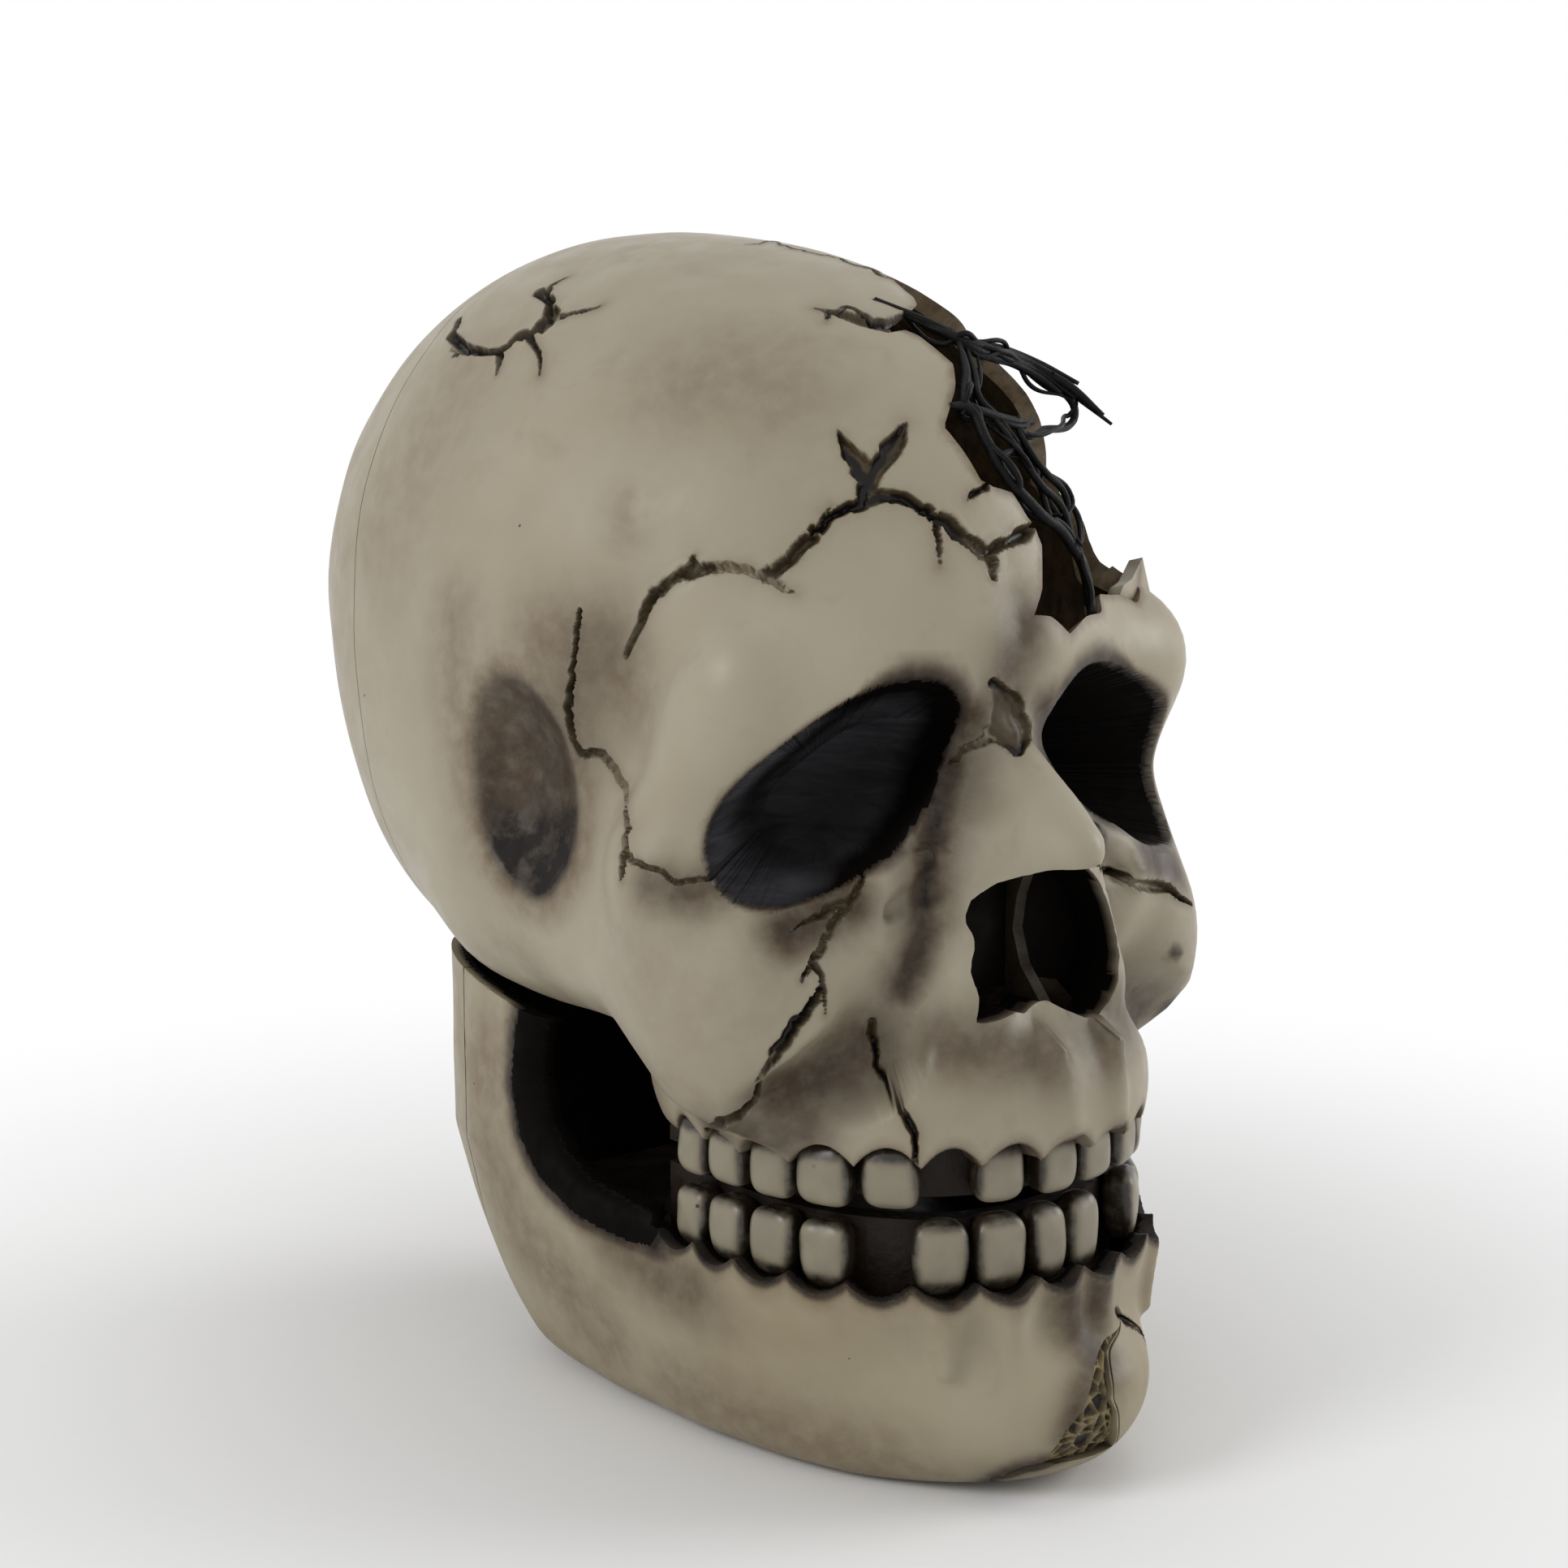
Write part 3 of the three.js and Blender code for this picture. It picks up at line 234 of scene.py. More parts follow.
# Cracks: a line of pixels on the photograph, its half width and depth in millimetres, and how its ends run
Crack = namedtuple("Crack", "line half_width depth ends", defaults=("thin",))
CRANIUM_CRACKS = (
    Crack(((564, 394), (554, 414), (566, 422), (578, 432), (609, 432), (621, 426), (641, 412), (653, 410),
           (673, 390), (680, 375), (673, 363), (665, 359)), 1.2, 1.5, "even"),
    Crack(((673, 363), (677, 353), (700, 339)), 0.8, 1.0),
    Crack(((676, 392), (708, 385), (740, 375)), 0.9, 1.1),
    Crack(((615, 432), (616, 446), (611, 460)), 1.0, 1.2),
    Crack(((650, 411), (665, 434), (664, 462)), 0.8, 1.0),
    Crack(((572, 428), (556, 439)), 0.7, 0.9),
    Crack(((771, 808), (789, 770), (799, 742), (819, 723), (839, 707), (882, 699), (910, 699), (941, 711)),
          1.1, 1.5, "swell"),
    Crack(((941, 711), (960, 719), (977, 729)), 1.0, 1.2),
    Crack(((839, 707), (850, 697), (854, 685)), 1.0, 1.2),
    Crack(((941, 709), (958, 703), (975, 687), (1002, 659), (1022, 636), (1050, 626), (1066, 616),
           (1073, 588)), 1.3, 1.6, "even"),
    Crack(((1073, 592), (1050, 564), (1034, 533)), 1.7, 1.5),
    Crack(((1073, 592), (1089, 557), (1117, 521)), 1.6, 1.5),
    Crack(((1066, 616), (1097, 608), (1129, 620), (1153, 636), (1176, 651), (1204, 675), (1220, 691),
           (1226, 711)), 1.4, 1.6, "swell"),
    Crack(((1153, 636), (1158, 665), (1159, 697)), 0.8, 1.1),
    Crack(((1212, 681), (1244, 667), (1271, 651)), 1.3, 1.4, "even"),
    Crack(((1216, 600), (1204, 606), (1192, 616)), 0.8, 1.0),
    Crack(((1002, 659), (1012, 640), (1024, 624)), 0.7, 0.9),
    Crack(((1101, 343), (1058, 325), (1000, 310), (945, 298), (919, 300)), 0.9, 1.0),
    Crack(((1126, 386), (1095, 396), (1066, 387), (1040, 378), (1020, 382), (1002, 378)), 1.2, 1.4),
    Crack(((1020, 382), (1018, 396)), 0.7, 0.8),
    Crack(((714, 752), (708, 800), (702, 839), (700, 879), (706, 910), (716, 930), (744, 928), (754, 946),
           (771, 970), (769, 997), (773, 1037), (771, 1053), (779, 1060), (807, 1072), (835, 1086),
           (878, 1082)), 0.8, 1.3, "swell"),
    Crack(((767, 1053), (765, 1084)), 0.9, 1.0),
    Crack(((1050, 1068), (1062, 1077), (1058, 1095), (1048, 1110), (1034, 1126), (1018, 1158), (1004, 1182),
           (988, 1209)), 0.8, 1.2, "swell"),
    Crack(((1004, 1182), (1016, 1221), (1018, 1249)), 0.7, 0.9),
    Crack(((1012, 1221), (987, 1255), (967, 1283), (943, 1318), (933, 1342), (931, 1358), (916, 1373),
           (876, 1391)), 1.0, 1.4, "even"),
    Crack(((1046, 1110), (1018, 1122), (971, 1150)), 0.9, 0.9),
    Crack(((1075, 1259), (1077, 1291), (1085, 1319), (1105, 1354), (1121, 1386), (1129, 1410), (1127, 1433)),
          0.7, 1.0, "even"),
    Crack(((1224, 842), (1240, 854), (1249, 861), (1269, 897), (1255, 925), (1218, 901)), 1.0, 1.1, "even"),
    Crack(((1218, 909), (1190, 925), (1153, 948)), 0.9, 1.0),
    Crack(((1354, 1069), (1386, 1079), (1406, 1091), (1441, 1095), (1469, 1114)), 1.0, 1.3, "swell"),
)
# Cracks on the sides that the photograph hides, as points near the surface
HIDDEN_CRACKS = (
    Crack(((64, 8, 168), (63, 4, 158), (62, -2, 150), (58, -10, 144), (60, -8, 138), (58, -14, 132),
           (57, -18, 124), (58, -22, 117), (56, -30, 112)), 0.8, 1.2, "swell"),
    Crack(((62, -2, 150), (58, 4, 146), (60, 12, 141)), 0.7, 1.0),
    Crack(((20, 80, 200), (14, 86, 192), (16, 94, 182), (8, 98, 176), (10, 104, 165), (3, 106, 158)),
          0.9, 1.3, "swell"),
    Crack(((16, 94, 182), (26, 94, 178), (33, 94, 170)), 0.8, 1.0),
    Crack(((8, 98, 176), (-4, 100, 172), (-12, 102, 164)), 0.8, 1.0),
    Crack(((40, -2, 196), (46, 8, 192), (44, 18, 194), (50, 26, 188)), 0.9, 1.2, "swell"),
)
JAW_CRACKS = (
    Crack(((1379, 1617), (1392, 1627), (1406, 1640), (1417, 1656), (1421, 1671)), 0.8, 1.0, "even"),
    Crack(((1299, 1802), (1262, 1812), (1220, 1826)), 1.2, 1.0),
)

# Broken patches: an outline of pixels on the photograph and how deep the surface has sunk, in millimetres
Patch = namedtuple("Patch", "outline depth")
BROKEN_PATCHES = (
    Patch(((1222, 836), (1240, 850), (1252, 861), (1271, 897), (1257, 927), (1216, 903), (1224, 870)), 1.3),
    Patch(((1031, 528), (1062, 556), (1079, 570), (1072, 606), (1055, 592), (1040, 564)), 1.7),
    Patch(((1119, 518), (1119, 545), (1108, 564), (1088, 586), (1080, 606), (1064, 606), (1068, 578),
           (1092, 550)), 1.7),
    Patch(((1048, 624), (1068, 600), (1100, 602), (1134, 616), (1128, 628), (1096, 618), (1064, 628)), 1.6),
    Patch(((1180, 650), (1210, 664), (1232, 690), (1226, 714), (1212, 690), (1190, 668)), 1.6),
    Patch(((836, 712), (846, 696), (853, 682), (862, 694), (886, 692), (884, 704), (850, 716)), 1.5),
    Patch(((930, 706), (975, 682), (1000, 658), (1006, 664), (982, 694), (956, 714)), 1.5),
    Patch(((1004, 380), (1040, 382), (1066, 390), (1096, 400), (1126, 392), (1128, 404), (1094, 410),
           (1060, 402)), 1.4),
    Patch(((555, 402), (566, 418), (580, 430), (572, 438), (552, 432)), 1.4),
    Patch(((658, 408), (676, 386), (684, 374), (692, 382), (684, 398), (668, 412)), 1.4),
)
PATCH_EDGE = 3.5

# Airbrushed shading, among it painted shade on the cheek and painted shadow under the cheekbone: a line of
# pixels, its radius in millimetres and its strength
Shade = namedtuple("Shade", "line radius strength mirrored", defaults=(True,))
SOOT_AND_SHADOW_LINES = (
    Shade(((1172, 940), (1156, 990), (1146, 1050), (1140, 1110)), 3.2, 0.95),
    Shade(((1140, 1110), (1136, 1160), (1112, 1220)), 3.2, 0.75),
    Shade(((1172, 940), (1150, 1020), (1142, 1120)), 7.0, 0.4),
    Shade(((971, 1150), (1005, 1128), (1046, 1110)), 5.0, 0.7),
    # Soot and painted shadow in the hollow under the overhanging cheekbone, in these two lines
    Shade(((960, 1345), (1010, 1325), (1060, 1290)), 7.0, 0.62),
    Shade(((880, 1392), (930, 1400), (985, 1395)), 6.0, 0.45),
    Shade(((1165, 1285), (1215, 1292), (1290, 1300)), 7.0, 0.42),
    Shade(((1110, 1200), (1095, 1262)), 5.0, 0.28),
    Shade(((1262, 770), (1250, 810), (1240, 850)), 6.0, 0.5, False),
    Shade(((1205, 880), (1165, 930)), 4.5, 0.6),
    Shade(((806, 1090), (850, 1102), (878, 1092)), 4.5, 0.5),
    Shade(((735, 800), (705, 850), (700, 905)), 9.0, 0.35),
    Shade(((1180, 1345), (1140, 1300)), 6.0, 0.06),
    Shade(((1450, 1176), (1451, 1177)), 1.6, 0.8, False),
    Shade(((1437, 1245), (1465, 1215)), 3.0, 0.8, False),
)
STAIN_AND_SHADE_LINES = (
    Shade(((840, 470), (900, 450), (960, 470)), 13.0, 0.4, False),
    Shade(((768, 625), (772, 650)), 5.0, 0.4, False),
    Shade(((560, 760), (560, 860), (580, 960), (640, 1065)), 9.0, 0.5),
    Shade(((660, 790), (740, 790), (775, 850)), 9.0, 0.6),
    Shade(((800, 1100), (860, 1112)), 5.0, 0.5),
    Shade(((1120, 1290), (1230, 1305), (1300, 1320)), 8.0, 0.14),
    Shade(((560, 460), (520, 540), (470, 640)), 18.0, 0.35),
    Shade(((640, 1180), (760, 1290), (860, 1370)), 7.0, 0.35),
    # Painted shade: the cheek faces down and away from the light, so this line darkens it
    Shade(((790, 1190), (900, 1255)), 18.0, 0.24),
)
JAW_SOOT_SHADES = (
    Shade(((760, 1530), (800, 1560), (850, 1590)), 7.0, 0.4),
    Shade(((1355, 1590), (1340, 1650), (1352, 1680)), 5.0, 0.6),
    Shade(((1300, 1802), (1260, 1812), (1220, 1826)), 3.0, 0.8, False),
    Shade(((1340, 1700), (1320, 1770)), 3.5, 0.5, False),
)
JAW_STAIN_SHADES = (
    Shade(((600, 1300), (590, 1400), (640, 1520), (740, 1640)), 12.0, 0.6),
    Shade(((840, 1720), (950, 1770), (1100, 1810)), 11.0, 0.55),
    Shade(((1060, 1590), (1180, 1640)), 9.0, 0.25),
    Shade(((760, 1560), (880, 1620)), 9.0, 0.35),
)

# Strands across the hole: radius and points in millimetres
STRANDS = (
    (0.75, ((-3.0, -33.5, 203.0), (5.4, -40.6, 198.2), (8.2, -43.0, 196.1), (12.4, -44.2, 194.0),
            (19.4, -42.4, 194.0), (25.7, -41.6, 192.7), (29.6, -43.3, 190.6), (33.0, -46.3, 188.0),
            (37.4, -50.6, 182.8))),
    (0.7, ((0.5, -36.5, 200.6), (6.4, -41.6, 197.0), (9.2, -43.6, 195.6), (13.4, -44.0, 194.9),
           (20.0, -43.0, 193.2), (25.9, -42.2, 191.6), (30.2, -43.9, 189.2), (34.0, -47.0, 186.0))),
    (0.6, ((2.5, -38.0, 199.8), (7.0, -42.6, 196.6), (12.0, -43.0, 195.2), (18.4, -41.6, 195.0),
           (24.7, -40.8, 193.9), (30.0, -42.4, 191.8), (35.6, -46.0, 188.6))),
    (0.6, ((4.5, -39.4, 198.6), (9.8, -43.8, 194.6), (15.4, -43.8, 193.0), (22.4, -42.8, 191.9),
           (27.7, -44.0, 189.4), (30.6, -46.4, 186.8))),
    (0.6, ((29.6, -43.3, 190.6), (33.5, -45.2, 186.4), (34.9, -45.6, 184.6), (35.0, -45.8, 182.9),
           (33.8, -46.2, 181.5), (22.0, -50.8, 180.4), (12.6, -54.8, 180.0), (10.9, -54.0, 182.0))),
    (0.7, ((8.2, -43.0, 196.1), (4.6, -49.0, 190.3), (1.0, -52.4, 186.0), (0.4, -53.4, 184.8),
           (4.0, -54.3, 183.4), (10.9, -54.0, 182.0), (18.0, -52.0, 181.6))),
    (0.55, ((9.8, -43.2, 195.4), (7.0, -48.6, 190.0), (5.2, -52.0, 185.6), (7.4, -54.0, 182.6),
            (10.4, -56.2, 178.2))),
    (0.8, ((-3.4, -53.4, 184.6), (0.6, -54.1, 184.0), (1.6, -57.0, 179.1), (3.6, -60.0, 172.9),
           (8.2, -61.2, 168.3), (12.0, -61.3, 165.4), (16.0, -60.6, 163.6), (20.6, -59.8, 159.9),
           (23.0, -59.8, 157.0), (22.6, -62.4, 150.0), (22.8, -63.2, 146.2))),
    (0.6, ((5.7, -54.3, 182.9), (8.7, -57.2, 177.5), (12.7, -58.9, 171.5), (19.3, -58.3, 166.8),
           (20.4, -59.0, 163.1), (20.8, -59.8, 159.6))),
    (0.55, ((11.2, -53.9, 182.1), (12.7, -56.6, 176.9), (16.0, -57.2, 173.2), (21.9, -56.6, 168.7),
            (20.2, -58.9, 163.8))),
    (0.5, ((21.9, -56.6, 168.7), (24.6, -57.0, 165.2), (24.0, -58.4, 161.4), (20.8, -59.8, 159.6))),
    (0.5, ((14.0, -56.4, 174.6), (14.4, -58.0, 170.0), (14.8, -59.4, 166.0), (15.2, -60.4, 163.9))),
    (0.5, ((8.7, -57.2, 177.5), (5.4, -58.2, 176.4), (2.4, -58.6, 175.8))),
)


# Distance fields: negative inside, positive outside
def ball_field(points, ball):
    away = points - np.asarray(ball.centre, float)
    radii = np.asarray(ball.radii, float)
    level = np.sqrt(((away / radii) ** 2).sum(axis=1)) + 1e-6
    slope = np.sqrt(((away / radii ** 2) ** 2).sum(axis=1)) + 1e-9
    return level * (level - 1) / slope


def bar_field(points, bar):
    start = np.asarray(bar.start, float)
    axis = np.asarray(bar.end, float) - start
    away = points - start
    along = np.clip(away @ axis / (axis @ axis), 0, 1)
    gap = np.sqrt(((away - along[:, None] * axis) ** 2).sum(axis=1))
    return gap - (bar.start_radius + (bar.end_radius - bar.start_radius) * along)


def socket_field(points, socket):
    long_axis = np.asarray(socket.long_axis, float)
    long_axis = long_axis / np.linalg.norm(long_axis)
    facing = np.asarray(socket.facing, float)
    facing = facing - long_axis * (facing @ long_axis)
    facing = facing / np.linalg.norm(facing)
    across = np.cross(facing, long_axis)
    away = points - np.asarray(socket.centre, float)
    turned = np.stack((away @ long_axis, away @ across, away @ facing), axis=1)
    return ball_field(turned, Ball((0, 0, 0), socket.radii))


def soft_join(a, b, blend):
    nearness = np.clip(blend - np.abs(a - b), 0, None) / blend
    return np.minimum(a, b) - nearness * nearness * blend * 0.25


def soft_cut(a, b, blend):
    return -soft_join(-a, -b, blend)


def smooth_step(low, high, values):
    t = np.clip((values - low) / (high - low), 0, 1)
    return t * t * (3 - 2 * t)


# A fade begins at one value, is full at another and has a strength there
Fade = namedtuple("Fade", "start full strength", defaults=(1.0,))


def faded(fade, values):
    return fade.strength * smooth_step(fade.start, fade.full, values)


def both_sides(points):
    folded = points.copy()
    folded[:, 0] = np.abs(folded[:, 0])
    return folded


def border_z(x, y):
    rise = np.where(x > 0, BORDER_RISE_LEFT, BORDER_RISE_RIGHT)
    return BORDER_MID_Z + BORDER_RISE_BACK * (y - BORDER_FRONT_Y) + rise * np.abs(x)


# Distance along the dental arch, positive towards the skull's left
def arch_points():
    """Half of the arch, from its front to its end."""
    angles = np.linspace(0, math.pi / 2, ARCH_STEPS + 1)
    x = ARCH_HALF_WIDTH * np.sin(angles) ** (2 / ARCH_POWER)
    y = ARCH_BACK_Y - ARCH_DEPTH * np.abs(np.cos(angles)) ** (2 / ARCH_POWER)
    return np.stack((x, y), axis=1)


ARCH_TABLE = arch_points()
ARCH_ARCS = np.concatenate(((0,), np.cumsum(np.linalg.norm(np.diff(ARCH_TABLE, axis=0), axis=1))))
ARCH_LENGTH = float(ARCH_ARCS[-1])
ARCH_ANGLES = np.arctan2(ARCH_TABLE[:, 0], ARCH_BACK_Y - ARCH_TABLE[:, 1])


def arch_distance(x, y):
    angle = np.arctan2(np.abs(x), ARCH_BACK_Y - y)
    curved = np.interp(angle, ARCH_ANGLES, ARCH_ARCS)
    straight = ARCH_LENGTH + y - ARCH_BACK_Y
    return np.where(x < 0, -1, 1) * np.where(y < ARCH_BACK_Y, curved, straight)


def along_arch(distance):
    """Point on the arch and the direction that points out of the mouth there."""
    arc = abs(distance)
    side = -1 if distance < 0 else 1
    if arc >= ARCH_LENGTH:
        point = np.array((ARCH_HALF_WIDTH, ARCH_BACK_Y + arc - ARCH_LENGTH))
        tangent = np.array((0.0, 1.0))
    else:
        k = max(1, int(np.searchsorted(ARCH_ARCS, arc)))
        point = ARCH_TABLE[k]
        tangent = ARCH_TABLE[k] - ARCH_TABLE[k - 1]
        tangent = tangent / np.linalg.norm(tangent)
    return side * point[0], point[1], side * tangent[1], -tangent[0]


def tooth_row(midline, places):
    return np.array([midline - place for place in reversed(places)] + [midline + place for place in places])


UPPER_ROW = tooth_row(UPPER_MIDLINE, UPPER_PLACES)
LOWER_ROW = tooth_row(LOWER_MIDLINE, LOWER_PLACES)
LAST_CUSP_REACH = 5.5


def cusp(distance, row):
    """0 over the middle of a tooth, rising to 1 halfway to its neighbours."""
    middles = (row[1:] + row[:-1]) / 2
    edges = np.concatenate(((row[0] - LAST_CUSP_REACH,), middles, (row[-1] + LAST_CUSP_REACH,)))
    k = np.clip(np.searchsorted(edges, distance) - 1, 0, len(row) - 1)
    half = (edges[k + 1] - edges[k]) / 2
    centre = (edges[k + 1] + edges[k]) / 2
    return np.clip(np.abs(distance - centre) / half, 0, 1) ** 2


def with_forms(d, points, forms):
    """A field with the forms of both sides joined to it."""
    for form in forms:
        field = ball_field if isinstance(form.shape, Ball) else bar_field
        d = soft_join(d, field(points, form.shape), form.blend)
    return d


def gum_line_z(y):
    return GUM_Z_AT_BACK + GUM_RISE * (ARCH_BACK_Y - y) / ARCH_DEPTH


def cusp_line_z(x, y):
    return gum_line_z(y) + CUSP_LIFT - UPPER_CUSP * cusp(arch_distance(x, y), UPPER_ROW)


def plain_cranium(points, with_cusps):
    """The cranium before its hollows, sockets and creases."""
    side = both_sides(points)
    x, y, z = points.T
    d = with_forms(ball_field(points, BRAINCASE), side, HEAD_FORMS)
    d = soft_cut(d, border_z(x, y) - z, BORDER_BLEND)
    d = with_forms(d, side, FACE_FORMS)
    if with_cusps:
        d = soft_cut(d, cusp_line_z(x, y) - z, CUSP_BLEND)
    else:
        d = soft_cut(d, gum_line_z(y) - z, GUM_BLEND)
    return with_forms(d, side, NOSE_FORMS)


# Raised lip along the lower rim of the eye and the crease below it
LID_BLEND = 3.5
LID = (
    Bar((50.5, -41.5, 108.2), (42, -52.5, 104.2), 1.4, 2.0),
    Bar((42, -52.5, 104.2), (31, -61, 104.2), 2.0, 2.2),
    Bar((31, -61, 104.2), (20, -66.5, 110.5), 2.2, 1.6),
)
CREASE_BLEND = 2.5
LID_CREASE = (
    Bar((46, -50.5, 99.6), (34, -61.5, 98.6), 0.6, 1.3),
    Bar((34, -61.5, 98.6), (23, -67.5, 104), 1.3, 0.8),
)
# Hollow under the cheek and the crease between the eye and the nose
CHEEK_BLEND = 2.6
CHEEK_HOLLOW = Bar((49, -64.6, 66.2), (32.0, -69.2, 80.0), 10.5, 8.0)
HOLLOW_BLEND = 6
FACE_HOLLOWS = (
    Bar((16, -68.4, 119.5), (20.4, -70.4, 113.5), 3, 4.4),
    Bar((20.4, -70.4, 113.5), (24.6, -73.2, 104), 4.4, 5),
    Bar((24.6, -73.2, 104), (26, -72, 90), 5, 4),
)
RIDGE_BLEND = 4
ROOT_RIDGES = (
    Bar((9.5, -83.0, 78), (8.2, -84.2, 65), 1.2, 1.6),
    Bar((-4.5, -83.0, 78), (-3.6, -84.2, 65), 1.2, 1.6),
)
EYE_BLEND = 2.2
TEMPLE_BLEND = 2.5


def cranium_field(points):
    """Outer surface of the cranium with its sockets, dents and modelled details."""
    side = both_sides(points)
    d = plain_cranium(points, True)
    d = soft_cut(d, -bar_field(side, CHEEK_HOLLOW), CHEEK_BLEND)
    for hollow in FACE_HOLLOWS:
        d = soft_cut(d, -bar_field(side, hollow), HOLLOW_BLEND)
    for lid in LID:
        d = soft_join(d, bar_field(side, lid), LID_BLEND)
    for crease in LID_CREASE:
        d = soft_cut(d, -bar_field(side, crease), CREASE_BLEND)
    for ridge in ROOT_RIDGES:
        d = soft_join(d, bar_field(points, ridge), RIDGE_BLEND)
    d = soft_cut(d, -socket_field(side, EYE), EYE_BLEND)
    return soft_cut(d, -socket_field(side, TEMPLE), TEMPLE_BLEND)


NOSE_ROOM_SIDE = 21.5
NOSE_ROOM_LOW_Z = 78
NOSE_ROOM_HIGH_Z = 112.5
NOSE_ROOM_BACK_Y = -62


def cranium_hollow(points):
    """Inner surface of the cranium, kept clear of the nose."""
    side = both_sides(points)
    _, y, z = points.T
    nose = np.maximum.reduce(
        [side[:, 0] - NOSE_ROOM_SIDE, NOSE_ROOM_LOW_Z - z, z - NOSE_ROOM_HIGH_Z, y - NOSE_ROOM_BACK_Y])
    return np.maximum.reduce([
        plain_cranium(points, False) + WALL,
        WALL - socket_field(side, EYE),
        WALL - socket_field(side, TEMPLE),
        cranium_field(points) + LEAST_WALL,
        -nose,
    ])


# Jaw as a vase that widens upwards. Sizes that widen are given at the foot, with what the flare adds.
Flared = namedtuple("Flared", "foot added")
JAW_FLARE_HEIGHT = 45
JAW_HALF_WIDTH = Flared(35, 15)
JAW_MIDDLE_Y = Flared(-10, 15)
JAW_FRONT_LENGTH = Flared(66, 22)
JAW_REAR_LENGTH = Flared(47, 10)
JAW_FRONT_POWER = 2.3
JAW_REAR_POWER = 3.0
JAW_CENTRE = np.array((0.0, -12.0, 36.0))
JAW_REACH = 140
JAW_TOP_Z = 93
JAW_TOP_BLEND = 1
JAW_FOOT_BLEND = 6
JAW_FLOOR_Z = 3.4
HOLLOW_RISE = 6
CHIN = Ball((0, -67, 17), (25, 25, 18))
CHIN_BLEND = 9
RIDGE_SIDE = 2.4
RIDGE_FRONT = 2.6
RIDGE_UP = Fade(20, 40)
RIDGE_AHEAD = Fade(-4, -30)
EDGE_ROUNDING = 7
EDGE_TURN = 0.8
EDGE_BACK = Fade(-34, -8)


def outline_field(x, ahead, half_width, half_length, power):
    """Distance along the radius from an oval with squared corners."""
    level = (np.abs(x / half_width) ** power + np.abs(ahead / half_length) ** power) ** (1 / power)
    radius = np.hypot(x, ahead)
    return radius - radius / np.maximum(level, 1e-6)


def vase_field(points):
    x, y, z = points.T
    flare = np.sqrt(np.clip(z / JAW_FLARE_HEIGHT, 0, 1))
    flared = (JAW_HALF_WIDTH, JAW_MIDDLE_Y, JAW_FRONT_LENGTH, JAW_REAR_LENGTH)
    width, middle, front, rear = (size.foot + size.added * flare for size in flared)
    ahead = y - middle
    length = np.where(ahead < 0, front, rear)
    power = np.where(ahead < 0, JAW_FRONT_POWER, JAW_REAR_POWER)
    return soft_join(outline_field(x, ahead, width, length, power), ball_field(points, CHIN), CHIN_BLEND)


def ridge_field(points):
    x, y, _ = points.T
    ahead = np.minimum(y - ARCH_BACK_Y, 0)
    return outline_field(x, ahead, ARCH_HALF_WIDTH + RIDGE_SIDE, ARCH_DEPTH + RIDGE_FRONT, ARCH_POWER)


LOWER_ROOT_PLACES = (-24.5, -13.6, -3.2, 5.4, 26.0)
ROOT_TOP_Z = 36
ROOT_TOP_OUT = 1.4
ROOT_TOP_RADIUS = 2.0
ROOT_FOOT_Z = 25
ROOT_FOOT_OUT = 1.6
ROOT_FOOT_RADIUS = 0.8


def lower_root_ridges():
    """Bars along the roots of the front teeth, just under the jaw's surface."""
    ridges = []
    for place in LOWER_ROOT_PLACES:
        x, y, out_x, out_y = along_arch(place)
        top = (x + out_x * ROOT_TOP_OUT, y + out_y * ROOT_TOP_OUT, ROOT_TOP_Z)
        foot = (x + out_x * ROOT_FOOT_OUT, y + out_y * ROOT_FOOT_OUT, ROOT_FOOT_Z)
        ridges.append(Bar(top, foot, ROOT_TOP_RADIUS, ROOT_FOOT_RADIUS))
    return ridges


LOWER_ROOT_RIDGES = lower_root_ridges()


def mouth_edge_gap(y, z):
    """Distance in the side view from the mouth's edge on the branch of the jaw."""
    curve = np.asarray(MOUTH_CURVE, float)
    best = np.full(len(y), FAR)
    for start, end in zip(curve[:-1], curve[1:]):
        axis = end - start
        along = np.clip(((y - start[0]) * axis[0] + (z - start[1]) * axis[1]) / (axis @ axis), 0, 1)
        gap = np.hypot(y - start[0] - along * axis[0], z - start[1] - along * axis[1])
        best = np.minimum(best, gap)
    return best


def jaw_field(points):
    """Outer surface of the jaw, turned in along the edge of the mouth."""
    _, y, z = points.T
    to_ridge = faded(RIDGE_UP, z) * faded(RIDGE_AHEAD, y)
    d = vase_field(points) * (1 - to_ridge) + ridge_field(points) * to_ridge
    for ridge in LOWER_ROOT_RIDGES:
        d = soft_join(d, bar_field(points, ridge), RIDGE_BLEND)
    reach = np.clip(EDGE_ROUNDING - mouth_edge_gap(y, z), 0, EDGE_ROUNDING)
    turned = EDGE_ROUNDING - np.sqrt(EDGE_ROUNDING ** 2 - reach ** 2)
    d = d + turned * EDGE_TURN * faded(EDGE_BACK, y)
    return soft_cut(d, -z, JAW_FOOT_BLEND)


def jaw_solid(points):
    return soft_cut(jaw_field(points), points[:, 2] - JAW_TOP_Z, JAW_TOP_BLEND)


def jaw_hollow(points):
    z = points[:, 2]
    return np.maximum.reduce([jaw_field(points) + JAW_WALL, JAW_FLOOR_Z - z, z - JAW_TOP_Z - HOLLOW_RISE])


